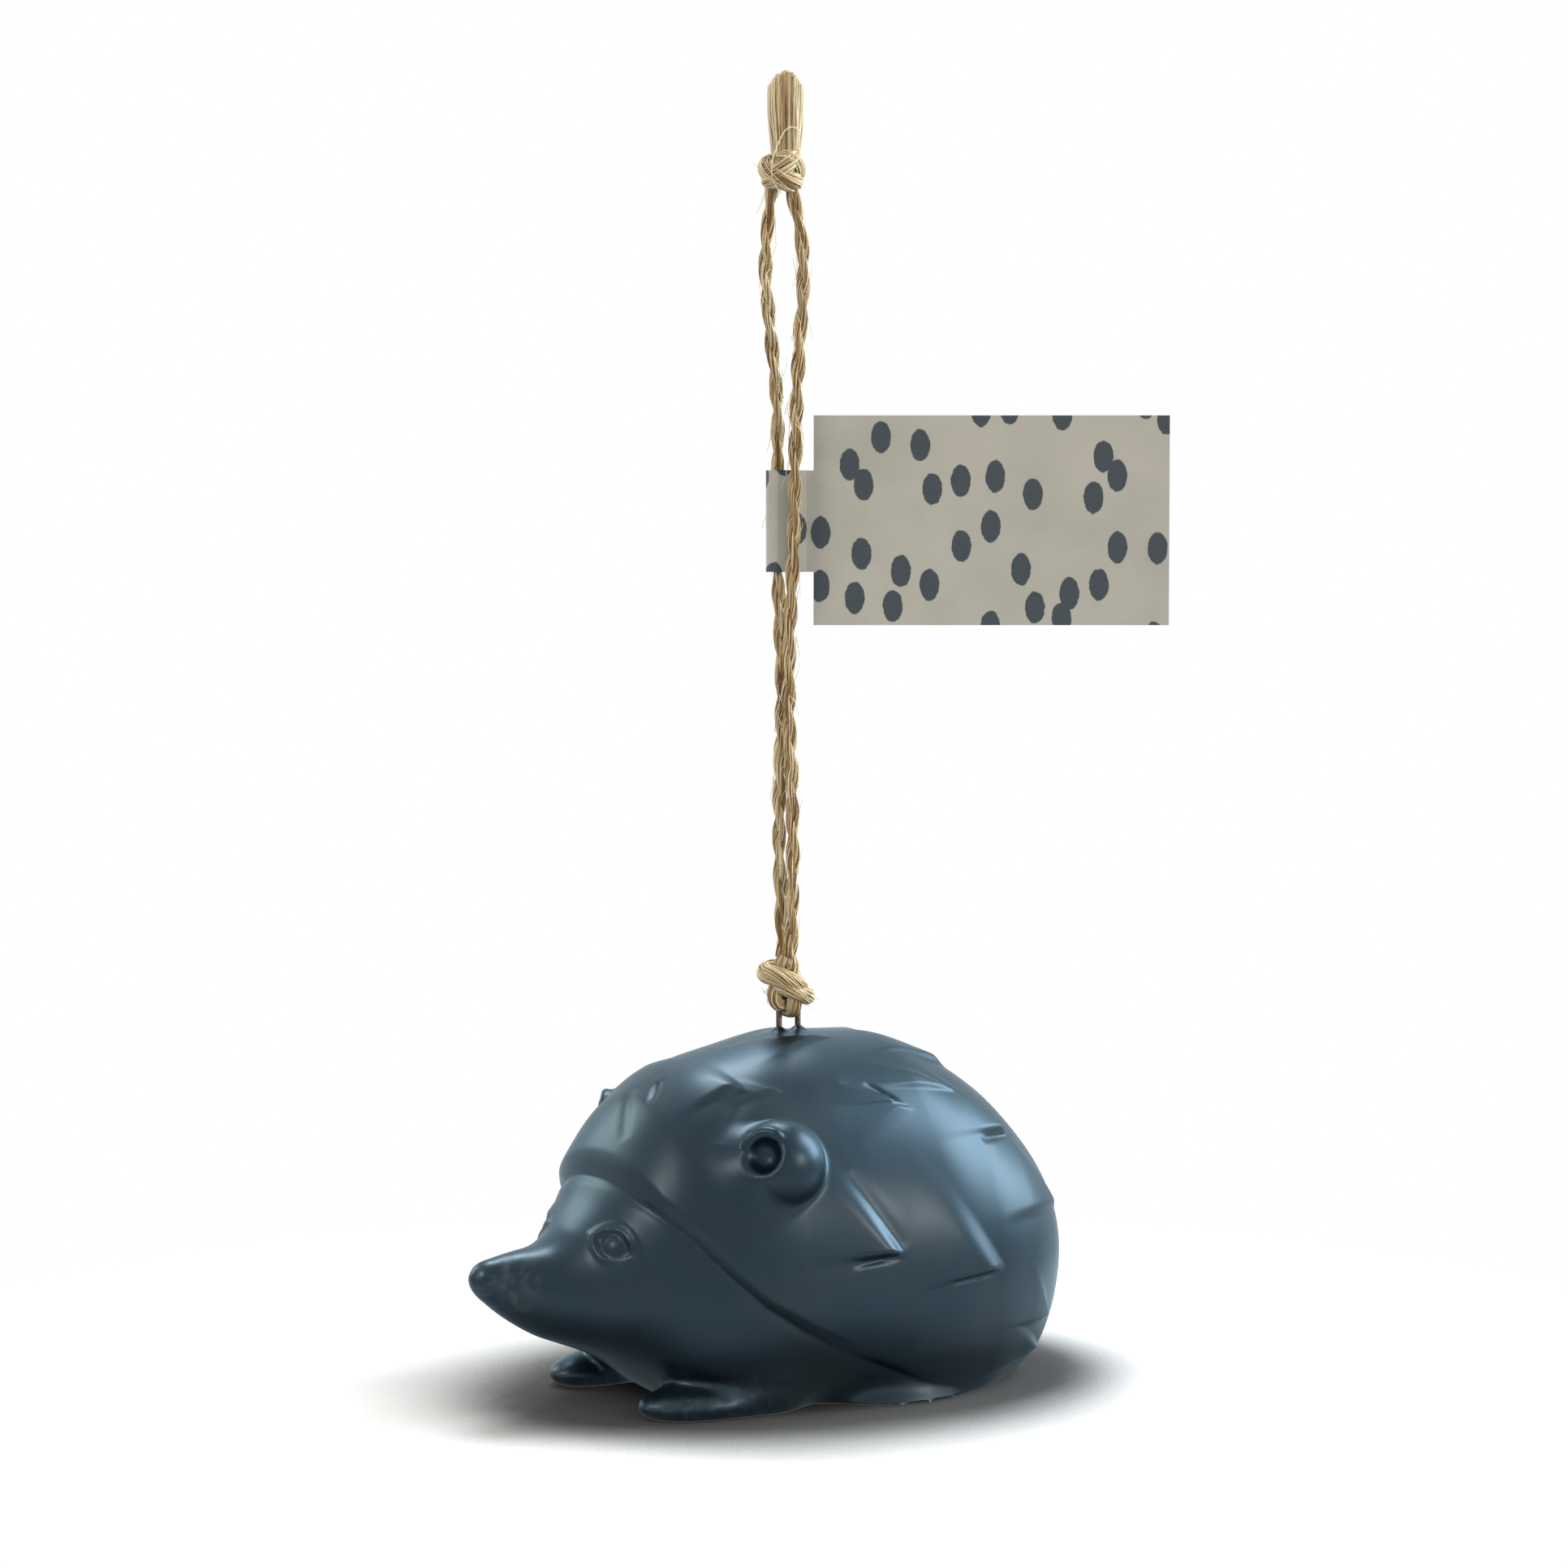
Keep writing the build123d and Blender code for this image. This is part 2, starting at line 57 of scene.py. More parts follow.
# The twine loop and the tag hang in a plane turned this far from the figure's length, in degrees.
LOOP_TURN = 32.0

# Stations along the body: place, top, underside, half-width, height of the widest place, squareness above.
STATIONS = (
    (-48.3, 18.5, 18.3, 0.3, 18.4, 2.0),
    (-47.5, 19.8, 16.2, 1.7, 18.2, 2.0),
    (-45.5, 20.8, 14.2, 2.9, 17.8, 2.0),
    (-42.5, 21.4, 12.0, 4.2, 17.2, 2.0),
    (-39.0, 21.9, 10.0, 6.0, 16.4, 2.1),
    (-35.5, 23.5, 8.6, 8.4, 15.8, 2.2),
    (-32.5, 26.7, 7.4, 11.4, 15.6, 2.3),
    (-30.0, 30.7, 6.2, 13.8, 15.6, 2.3),
    (-27.5, 34.8, 4.6, 16.0, 15.6, 2.3),
    (-24.0, 39.1, 2.2, 18.4, 15.6, 2.25),
    (-18.0, 42.9, -1.0, 21.2, 15.6, 2.2),
    (-10.0, 45.2, -3.0, 23.3, 15.8, 2.1),
    (0.0, 46.8, -6.0, 24.6, 16.2, 2.0),
    (10.0, 46.3, -14.0, 24.9, 16.4, 2.0),
    (18.0, 43.5, -11.5, 24.1, 16.4, 2.0),
    (25.0, 39.5, -6.0, 21.8, 16.4, 2.0),
    (31.0, 34.0, -3.0, 17.9, 16.6, 2.0),
    (35.5, 28.6, 2.2, 12.9, 16.6, 2.0),
    (38.2, 23.6, 7.8, 7.9, 16.4, 2.0),
    (39.6, 19.0, 12.7, 2.6, 16.2, 2.0),
    (39.8, 16.8, 15.2, 0.4, 16.1, 2.0),
)
PLACES, TOPS, UNDERS, HALVES, WIDEST, SQUARES = (np.array(column) for column in zip(*STATIONS))

# The quill coat's front edge in side view, as place along the body and height.
HOOD = (
    (-42.0, 60.0), (-31.2, 36.0), (-30.7, 32.2), (-29.2, 28.5), (-25.9, 24.7), (-21.7, 19.7), (-17.0, 15.2),
    (-11.4, 11.6), (-3.6, 7.5), (7.3, 2.9), (14.0, 1.2), (26.0, -1.0), (60.0, -3.0),
)
# How thick the coat is, and thicker on the brow, which begins between these heights and thins out behind
# over a length. Then how wide the coat's rounded edge and how deep the groove before it is in both places.
COAT = 1.0
BROW_COAT = 2.1
BROW_HEIGHTS = (18.0, 31.0)
BROW_LENGTH = 9.0
BROW_LIP = 1.9
FLANK_LIP = 1.2
BROW_GROOVE = 0.32
FLANK_GROOVE = 0.12
GROOVE_AHEAD = 0.3
GROOVE_WIDTH = 0.6
# How much of the edge is a quarter round, the rest being an easy slope.
ROUND_SHARE = 0.55
# Behind this place the edge widens and the groove fades, over a run.
EDGE_END = 1.0
EDGE_RUN = 11.0
FADED_LIP = 5.0

# Quill locks: tip, upper root and lower root, each as place along the body and turn above the widest
# line in degrees, then how far the tip stands out, and how soft its upper and lower edges are. The upper
# edge is softer towards the root by the factors below.
LOCKS = (
    ((1.1, 8.3), (-9.5, 39.0), (-12.0, 9.0), 1.3, 2.5, 0.8),
    ((17.2, 1.8), (4.5, 31.0), (2.0, -2.0), 1.15, 3.4, 0.8),
    ((24.3, 45.5), (13.0, 66.0), (10.0, 36.0), 1.1, 0.9, 1.3),
    ((33.4, 24.0), (23.0, 49.0), (17.0, 14.0), 1.0, 1.1, 1.8),
    ((6.9, 47.3), (-3.0, 60.0), (-4.5, 48.5), 0.6, 0.8, 0.7),
    ((7.4, 46.0), (-1.0, 52.0), (-3.5, 34.0), 0.45, 0.7, 2.0),
    ((18.2, 55.0), (1.5, 67.0), (0.5, 53.0), 0.75, 1.6, 1.0),
    ((21.0, 76.0), (6.0, 92.0), (4.0, 66.0), 1.1, 1.4, 1.4),
    ((30.0, -21.5), (23.5, 5.0), (16.0, -14.0), 1.0, 1.1, 1.2),
    ((30.0, -36.0), (18.0, -10.0), (16.0, -29.0), 0.8, 1.2, 1.0),
    ((-14.4, 61.5), (-17.0, 92.0), (-24.5, 61.0), 0.9, 2.6, 1.8),
    ((-9.6, 57.0), (-14.6, 68.0), (-18.0, 57.0), 0.35, 0.7, 1.2),
    ((3.0, 79.0), (-13.0, 92.0), (-11.0, 68.0), 0.5, 1.6, 1.6),
)
LOCK_DEPTH = 6.0
LOCK_SWELL = 1.4
ROOT_SOFTNESS = 2.0
TIP_SOFTNESS = 0.9
# Locks and furrows rise from nothing within this distance behind the coat's edge.
RELIEF_START = 2.0

# Furrows pressed into the coat: start and end as above, depth and half-width.
FURROWS = (
    ((-4.6, 29.5), (2.0, 9.5), 0.25, 1.3),
    ((2.6, 54.6), (6.6, 47.6), 0.3, 0.4),
    ((-0.9, 56.0), (6.6, 47.2), 0.25, 0.4),
    ((-14.2, 61.0), (-20.0, 45.0), 0.6, 1.7),
    ((-5.8, 7.2), (1.4, 8.0), 0.4, 0.4),
    ((8.0, 0.0), (17.4, 1.4), 0.4, 0.4),
    ((18.5, 38.5), (24.3, 44.5), 0.35, 0.5),
)
# Those across the top of the brow, on this side up to a turn of 90 degrees and beyond it on the far side.
BROW_FURROWS = (
    ((-28.5, 118.0), (-19.5, 91.0), 0.35, 0.5),
    ((-23.0, 97.0), (-27.6, 76.0), 0.5, 1.1),
    ((-20.9, 86.0), (-23.9, 78.0), 0.5, 0.7),
)

# The ear: a ball with a hollow that opens forwards. Each hollow is a ball too, given by how far out it lies
# and its radius. The ear runs into the head softly on the side of EAR_FADE.
EAR = (-13.4, -19.6, 33.2)
EAR_RADIUS = 5.8
EAR_OPENING = (-0.82, -0.46, 0.34)
EAR_FADE = (-0.72, 0.45, -0.53)
EAR_FADE_RUN = 9.0
EAR_FILLETS = (1.0, 5.5)
EAR_HOLLOWS = ((5.2, 2.1), (4.6, 1.2))
EAR_HOLLOW_FILLET = 1.6
EAR_RIM_UP = (-0.35, 0.1, 0.93)
EAR_RIM_RADIUS = 3.1
EAR_RIM_OUT = 4.8
EAR_RIM_THICKNESS = 0.75
EAR_RIM_LOSS = 0.4
EAR_RIM_FILLET = 0.5
NOSE = (-46.3, 0.0, 18.1)
NOSE_RADIUS = 2.3
NOSE_FILLET = 0.9

# Forelegs, shoulders and feet, as eggs: middle, half-sizes, turn from the figure's length, and fillet.
LIMBS = (
    ((-17.0, -12.8, 8.8), (8.4, 6.2, 5.0), -0.17, 4.0),
    ((-12.5, -14.6, 3.0), (5.5, 4.2, 4.4), 0.0, 3.5),
    ((-20.5, -13.2, 1.6), (9.7, 5.0, 2.9), -0.16, 1.8),
    ((5.5, -18.2, -0.5), (8.0, 4.6, 2.6), -0.25, 2.5),
)

# The eye: its middle on the skin, its corners, the slit between the lids and the ball.
EYE = (-32.6, -9.2, 22.7)
EYE_CORNERS = ((-34.2, -6.2, 22.9), (-31.0, -12.2, 20.8))
EYE_HALF_LENGTH = 3.4
EYE_HALF_HEIGHT = 1.9
EYE_BALL_RADIUS = 2.9
EYE_BALL_DEPTH = 2.6
EYE_BALL_FILLET = 0.3
# How high the lids stand and how much more the upper one, how wide they are and how far out of the slit.
LID_HEIGHT = 0.45
UPPER_LID_EXTRA = 0.2
LID_WIDTH = 0.4
LID_ASIDE = 0.2
EYE_HOLLOW = 0.4
# The fold over the eye, as wide and as high as these shares of the slit.
FOLD_LENGTH_SHARE = 1.35
FOLD_HEIGHT_SHARE = 1.55
FOLD_HEIGHT = 0.35
FOLD_WIDTH = 0.4
# All of the eye's relief ends between these distances from its middle, and further along the slit.
EYE_REACH = (2.6, 4.0)
EYE_STRETCH = 1.35

# Where a leg of the wire enters the back, with a collar of glaze.
WIRE_FOOT = (1.55, 0.0, 47.8)
WIRE_FOOT_RADIUS = 0.65
WIRE_FOOT_FILLET = 1.0

# Where handling has scuffed the glaze: round the nose, round the wire, and on the paws up to a height and
# back to a place.
NOSE_WEAR = 5.0
WIRE_WEAR = 4.0
PAW_WEAR_TOP = 9.5
PAW_WEAR_REAR = -6.0
PAW_WEAR_EASE = 8.0


def through(column, x):
    """A smooth line through the stations that never swings past them."""
    gaps = np.diff(PLACES)
    slopes = np.diff(column) / gaps
    product = slopes[:-1] * slopes[1:]
    total = np.where(product > 0, slopes[:-1] + slopes[1:], 1.0)
    inner = np.where(product > 0, 2 * product / total, 0.0)
    ways = np.concatenate([slopes[:1], inner, slopes[-1:]])
    i = np.clip(np.searchsorted(PLACES, x) - 1, 0, len(gaps) - 1)
    t = (x - PLACES[i]) / gaps[i]
    rise = column[i] * (1 - t) ** 2 * (1 + 2 * t) + column[i + 1] * t**2 * (3 - 2 * t)
    return rise + gaps[i] * t * (1 - t) * (ways[i] * (1 - t) - ways[i + 1] * t)


def skin_distance(x, y, z):
    """Roughly how far a point is outside the figure's smooth skin, in millimetres."""
    place = np.clip(x, PLACES[0], PLACES[-1])
    half, widest = through(HALVES, place), through(WIDEST, place)
    above = z > widest
    tall = np.where(above, through(TOPS, place) - widest, widest - through(UNDERS, place))
    power = np.where(above, through(SQUARES, place), 2.0)
    across = np.abs(y) / np.maximum(half, 0.05)
    upward = np.abs(z - widest) / np.maximum(tall, 0.05)
    share = np.maximum((across**power + upward**power) ** (1 / power), 1e-3)
    steep_across = (across / share) ** (power - 1) / np.maximum(half, 0.05)
    steep_upward = (upward / share) ** (power - 1) / np.maximum(tall, 0.05)
    steepness = np.hypot(steep_across, steep_upward)
    beyond = np.maximum(PLACES[0] - x, 0) + np.maximum(x - PLACES[-1], 0)
    return (share - 1) / steepness + beyond


def skin_point(place, turn):
    """The point of the coat at a place along the body and a turn above the widest line."""
    spot = np.array(float(place))
    half, widest = through(HALVES, spot) + COAT, through(WIDEST, spot)
    reach = through(TOPS, spot) - widest if turn > 0 else widest - through(UNDERS, spot)
    angle = radians(turn)
    return np.array([place, -half * cos(angle), float(widest + (reach + COAT) * sin(angle))])


def unit(way):
    """The same way, one long."""
    return way / np.linalg.norm(way)


def from_point(x, y, z, point):
    """How far places lie from a point, along each axis."""
    return x - point[0], y - point[1], z - point[2]


def along_way(offsets, way):
    """How far offsets reach along a way."""
    return offsets[0] * way[0] + offsets[1] * way[1] + offsets[2] * way[2]


def smooth_step(value):
    """From 0 to 1 with an easy start and end."""
    value = np.clip(value, 0, 1)
    return value * value * (3 - 2 * value)


def ridge(away, width):
    """A soft ridge, 1 high, at a distance from its crest."""
    return np.exp(-((away / width) ** 2))


def blend_in(a, b, soft):
    """The union of two forms with a fillet about as wide as soft."""
    h = np.clip(0.5 + 0.5 * (b - a) / soft, 0, 1)
    return b * (1 - h) + a * h - soft * h * (1 - h)


def blend_out(a, b, soft):
    """Form a with form b cut out of it, the rim rounded."""
    return -blend_in(-a, b, soft)


def ball(x, y, z, middle, radius):
    """How far a point is outside a ball."""
    return np.sqrt((x - middle[0]) ** 2 + (y - middle[1]) ** 2 + (z - middle[2]) ** 2) - radius


def egg(x, y, z, middle, radii, turn):
    """Roughly how far a point is outside a spheroid turned about the vertical, in radians."""
    x, y, z = from_point(x, y, z, middle)
    x, y = x * cos(turn) + y * sin(turn), y * cos(turn) - x * sin(turn)
    share = np.sqrt((x / radii[0]) ** 2 + (y / radii[1]) ** 2 + (z / radii[2]) ** 2)
    return (share - 1) * min(radii)


def hood_side(x, z):
    """Side-view distance from the coat's front edge, positive in the coat."""
    near = np.full(np.broadcast(x, z).shape, 1e3)
    side = np.zeros(near.shape)
    for (x0, z0), (x1, z1) in zip(HOOD[:-1], HOOD[1:]):
        dx, dz = x1 - x0, z1 - z0
        t = np.clip(((x - x0) * dx + (z - z0) * dz) / (dx * dx + dz * dz), 0, 1)
        ex, ez = x - x0 - t * dx, z - z0 - t * dz
        away = np.hypot(ex, ez)
        nearer = away < near
        near = np.where(nearer, away, near)
        side = np.where(nearer, np.sign(dx * ez - dz * ex), side)
    return near * side


def lock_frames():
    """For each lock: tip, ways in from its two edges, way down its length, face, height and softness."""
    frames = []
    for tip, upper, lower, height, soft_upper, soft_lower in LOCKS:
        a, b, c = (skin_point(*corner) for corner in (tip, upper, lower))
        face = unit(np.cross(b - a, c - a))
        if np.dot(face, a - np.array([a[0], 0, through(WIDEST, a[0])])) < 0:
            face = -face
        ways = []
        for end, other in ((b, c), (c, b)):
            way = unit(np.cross(face, end - a))
            ways.append(way if np.dot(way, other - a) > 0 else -way)
        fall = np.linalg.lstsq(np.array([b - a, c - a, face]), np.array([-1.0, -1.0, 0.0]), rcond=None)[0]
        frames.append((a, ways, fall, face, height, soft_upper, soft_lower))
    return frames


LOCK_FRAMES = lock_frames()


def furrow_depth(x, y, z, furrows):
    """How deep the furrows are pressed in at a point."""
    total = np.zeros(np.broadcast(x, y, z).shape)
    for start, end, depth, width in furrows:
        start, end = skin_point(*start), skin_point(*end)
        run = end - start
        offsets = from_point(x, y, z, start)
        t = np.clip(along_way(offsets, run) / np.dot(run, run), 0, 1)
        away = sum((offset - t * part) ** 2 for offset, part in zip(offsets, run))
        total = total + depth * np.sin(pi * t) ** 0.6 * np.exp(-away / width**2)
    return total


def coat_height(x, y, z):
    """How far the coat, its locks and its furrows stand out from the smooth skin."""
    side = hood_side(x, z)
    brow = smooth_step((z - BROW_HEIGHTS[0]) / (BROW_HEIGHTS[1] - BROW_HEIGHTS[0]))
    faded = smooth_step((x - EDGE_END) / EDGE_RUN)
    thick = COAT + (BROW_COAT - COAT) * brow * np.exp(-np.maximum(side, 0) / BROW_LENGTH)
    share = np.clip(side / (FLANK_LIP + (BROW_LIP - FLANK_LIP) * brow + FADED_LIP * faded), 0, 1)
    height = thick * (ROUND_SHARE * np.sqrt(1 - (1 - share) ** 2) + (1 - ROUND_SHARE) * smooth_step(share))
    groove = (FLANK_GROOVE + (BROW_GROOVE - FLANK_GROOVE) * brow) * (1 - faded)
    height = height - groove * ridge(side + GROOVE_AHEAD, GROOVE_WIDTH)
    near = -np.abs(y)
    locks = np.zeros(height.shape)
    for tip, ways, fall, face, tall, soft_upper, soft_lower in LOCK_FRAMES:
        offsets = from_point(x, near, z, tip)
        length = np.clip(1 + along_way(offsets, fall), 0, 1.05)
        rise = tall * length**LOCK_SWELL * (np.abs(along_way(offsets, face)) < LOCK_DEPTH)
        widening = ROOT_SOFTNESS + (TIP_SOFTNESS - ROOT_SOFTNESS) * length
        for way, soft in zip(ways, (soft_upper * widening, soft_lower)):
            rise = rise * smooth_step(0.5 + along_way(offsets, way) / soft)
        locks = np.maximum(locks, rise)
    pressed = furrow_depth(x, near, z, FURROWS) + furrow_depth(x, y, z, BROW_FURROWS)
    return height + (locks - pressed) * smooth_step(side / RELIEF_START)


def eye_frame():
    """The eye's middle and its own directions: out of the skin, along the slit and up across it."""
    middle, reach = np.array(EYE), 0.05
    out = unit(np.array(
        [skin_distance(*(middle + d)) - skin_distance(*(middle - d)) for d in np.eye(3) * reach]
    ))
    along = np.array(EYE_CORNERS[1]) - np.array(EYE_CORNERS[0])
    along = unit(along - out * np.dot(along, out))
    across = np.cross(out, along)
    return middle, out, along, across if across[2] > 0 else -across


EYE_MIDDLE, EYE_OUT, EYE_ALONG, EYE_ACROSS = eye_frame()


def eye_height(x, near, z):
    """The lids round the eye, the fold above them and the hollow that the ball sits in."""
    offsets = from_point(x, near, z, EYE_MIDDLE)
    along, across, out = (along_way(offsets, way) for way in (EYE_ALONG, EYE_ACROSS, EYE_OUT))
    inside = EYE_HALF_HEIGHT * (1 - (along / EYE_HALF_LENGTH) ** 2) - np.abs(across)
    inside = inside / np.sqrt(1 + (1.2 * along / EYE_HALF_LENGTH) ** 2)
    lid = LID_HEIGHT + UPPER_LID_EXTRA * smooth_step(across + 0.5)
    lower_rear = smooth_step((3.2 + 0.8 * across - along) / 2.5)
    height = lid * lower_rear * ridge(inside + LID_ASIDE, LID_WIDTH)
    height = height - EYE_HOLLOW * smooth_step((inside - 0.05) / 0.7)
    arch = 1 - (along / (FOLD_LENGTH_SHARE * EYE_HALF_LENGTH)) ** 2
    fold = across - FOLD_HEIGHT_SHARE * EYE_HALF_HEIGHT * arch
    height = height + FOLD_HEIGHT * ridge(fold, FOLD_WIDTH) * smooth_step((across + 0.3) / 0.8)
    gone = (np.hypot(along / EYE_STRETCH, across) - EYE_REACH[0]) / (EYE_REACH[1] - EYE_REACH[0])
    return height * smooth_step(1 - np.clip(gone, 0, 1)) * (np.abs(out) < 4)


def ear_rim(x, near, z, opening):
    """The fold along the upper edge of the ear's hollow."""
    offsets = from_point(x, near, z, EAR)
    out = along_way(offsets, opening)
    aside = np.sqrt(np.maximum(sum(offset**2 for offset in offsets) - out**2, 0))
    upper = np.array(EAR_RIM_UP)
    upper = unit(upper - opening * np.dot(upper, opening))
    share = along_way(offsets, upper) / np.maximum(aside, 0.1)
    thick = EAR_RIM_THICKNESS * smooth_step((share - 0.25) / 0.6)
    loss = EAR_RIM_LOSS * (1 - smooth_step((share - 0.1) / 0.5))
    return np.hypot(aside - EAR_RIM_RADIUS, out - EAR_RIM_OUT) - thick + loss


def figure_distance(x, y, z):
    """The whole casting as one smooth form: negative inside, in millimetres."""
    near = -np.abs(y)
    body = skin_distance(x, y, z) - coat_height(x, y, z)
    for middle, radii, turn, fillet in LIMBS:
        body = blend_in(body, egg(x, near, z, middle, radii, turn), fillet)
    body = blend_in(body, ball(x, near, z, NOSE, NOSE_RADIUS), NOSE_FILLET)
    body = blend_in(body, ball(np.abs(x), y, z, WIRE_FOOT, WIRE_FOOT_RADIUS), WIRE_FOOT_FILLET)
    fade = smooth_step(0.15 + along_way(from_point(x, near, z, EAR), EAR_FADE) / EAR_FADE_RUN)
    fillet = EAR_FILLETS[0] + (EAR_FILLETS[1] - EAR_FILLETS[0]) * fade
    body = blend_in(body, ball(x, near, z, EAR, EAR_RADIUS), fillet)
    opening = unit(np.array(EAR_OPENING))
    for out, radius in EAR_HOLLOWS:
        hollow = ball(x, near, z, np.array(EAR) + opening * out, radius)
        body = blend_out(body, hollow, EAR_HOLLOW_FILLET)
    body = blend_in(body, ear_rim(x, near, z, opening), EAR_RIM_FILLET)
    body = body - eye_height(x, near, z)
    eye_ball = ball(x, near, z, EYE_MIDDLE - EYE_OUT * EYE_BALL_DEPTH, EYE_BALL_RADIUS)
    return np.maximum(blend_in(body, eye_ball, EYE_BALL_FILLET), -z)


def worn_share(x, y, z):
    """How much the glaze is scuffed at a point: on the nose and the paws, and a little round the wire."""
    nose = smooth_step(1.3 - ball(x, y, z, NOSE, NOSE_RADIUS) / NOSE_WEAR)
    paws = smooth_step((PAW_WEAR_TOP - z) / PAW_WEAR_EASE)
    paws = paws * smooth_step((PAW_WEAR_REAR - x) / PAW_WEAR_EASE)
    wire = smooth_step(1.2 - ball(x, y, z, (0, 0, WIRE_FOOT[2]), 1.0) / WIRE_WEAR)
    return np.clip(nose + 0.8 * paws + 0.6 * wire, 0, 1)


def surface_net(values, low, step):
    """Vertices near the zero level of a grid of values, and the quads that join them."""
    inside = values < 0
    shape = tuple(n - 1 for n in values.shape)
    total, count = np.zeros(shape + (3,)), np.zeros(shape)
    crossings = []
    for axis in range(3):
        first, second = [slice(None)] * 3, [slice(None)] * 3
        first[axis], second[axis] = slice(0, -1), slice(1, None)
        here, there = values[tuple(first)], values[tuple(second)]
        change = inside[tuple(first)] != inside[tuple(second)]
        cell = np.argwhere(change)
        spot = cell.astype(float)
        spot[:, axis] += here[change] / (here[change] - there[change])
        others = [k for k in range(3) if k != axis]
        keep = np.ones(len(cell), bool)
        for k in others:
            keep &= (cell[:, k] > 0) & (cell[:, k] < values.shape[k] - 1)
        cell, spot = cell[keep], spot[keep]
        corners = []
        for back in ((0, 0), (1, 0), (1, 1), (0, 1)):
            corner = cell.copy()
            corner[:, others[0]] -= back[0]
            corner[:, others[1]] -= back[1]
            corners.append(corner)
            np.add.at(total, tuple(corner.T), spot)
            np.add.at(count, tuple(corner.T), 1)
        crossings.append((corners, inside[tuple(cell.T)], axis))
    used = count > 0
    number = np.full(count.shape, -1)
    number[used] = np.arange(used.sum())
    points = np.asarray(low) + step * total[used] / count[used][:, None]
    quads = []
    for corners, starts_inside, axis in crossings:
        quad = np.stack([number[tuple(corner.T)] for corner in corners], 1)
        flip = starts_inside if axis != 1 else ~starts_inside
        quad[flip] = quad[flip][:, ::-1]
        quads.append(quad)
    return points, np.concatenate(quads)


def settle(points, quads, rounds):
    """Evens out the mesh and puts its points exactly on the figure's surface."""
    probe, ease, furthest, flattest = 0.04, 0.5, 0.4, 0.2
    for _ in range(rounds):
        total, count = np.zeros(points.shape), np.zeros(len(points))
        for k in range(4):
            np.add.at(total, quads[:, k], points[quads[:, (k + 1) % 4]] + points[quads[:, k - 1]])
            np.add.at(count, quads[:, k], 2)
        points = points + ease * (total / count[:, None] - points)
        for _ in range(2):
            value = figure_distance(*points.T)
            slopes = [
                figure_distance(*(points + step).T) - figure_distance(*(points - step).T)
                for step in np.eye(3) * probe
            ]
            slope = np.stack(slopes, 1) / (2 * probe)
            size = np.maximum((slope**2).sum(1), flattest)
            points = points - slope * np.clip(value / size, -furthest, furthest)[:, None]
    return points


def new_object(name, data):
    """An object of the scene, made of the given data."""
    thing = bpy.data.objects.new(name, data)
    bpy.context.scene.collection.objects.link(thing)
    return thing


def new_piece(name, points, faces, body, material):
    """A smooth mesh piece, in metres, that rides on a body of the frame."""
    mesh = bpy.data.meshes.new(name)
    mesh.from_pydata([tuple(p) for p in points], [], [tuple(f) for f in faces])
    mesh.validate()
    mesh.update()
    mesh.shade_smooth()
    piece = new_object(name, mesh)
    mesh.materials.append(material)
    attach(piece, body)
    return piece


# Materials
def colour(code):
    """Linear light, as Blender's sockets take it, from an sRGB hex code."""
    channels = [int(code[i : i + 2], 16) / 255 for i in (1, 3, 5)]
    linear = [c / 12.92 if c <= 0.04045 else ((c + 0.055) / 1.055) ** 2.4 for c in channels]
    return (*linear, 1.0)


def new_material(name):
    """A material, its node tree, its shader and the places on the object in metres."""
    material = bpy.data.materials.new(name)
    material.use_nodes = True
    tree = material.node_tree
    place = add_node(tree, "TexCoord").outputs["Object"]
    return material, tree, tree.nodes["Principled BSDF"], place


def set_sockets(tree, node, values):
    """Sets a node's sockets, and links those given an output or a node, which stands for its first output."""
    for key, value in values.items():
        if isinstance(value, bpy.types.Node):
            value = next(output for output in value.outputs if output.enabled)
        if isinstance(value, bpy.types.NodeSocket):
            tree.links.new(value, node.inputs[key])
        else:
            node.inputs[key].default_value = value


def add_node(tree, kind, settings=None, inputs=None, stops=()):
    """Adds a node and sets its properties, its sockets and, for a ramp, its colour stops."""
    node = tree.nodes.new("ShaderNode" + kind)
    for key, value in (settings or {}).items():
        setattr(node, key, value)
    set_sockets(tree, node, inputs or {})
    for number, (place, code) in enumerate(stops):
        elements = node.color_ramp.elements
        if number > 1:
            elements.new(place)
        elements[number].position = place
        elements[number].color = colour(code)
    return node


# Settings that make a mapped range start and end softly, and a mix take colours.
SMOOTH = {"interpolation_type": "SMOOTHSTEP"}
COLOURS = {"data_type": "RGBA"}


def mapped(value, low, high, at_low, at_high):
    """The sockets of a node that maps one range of values to another."""
    return {"Value": value, "From Min": low, "From Max": high, "To Min": at_low, "To Max": at_high}


def noise(place, size, detail, rough=0.5):
    """The sockets of a noise whose features are about this many millimetres wide."""
    return {"Vector": place, "Scale": 1 / (size * MM), "Detail": detail, "Roughness": rough}


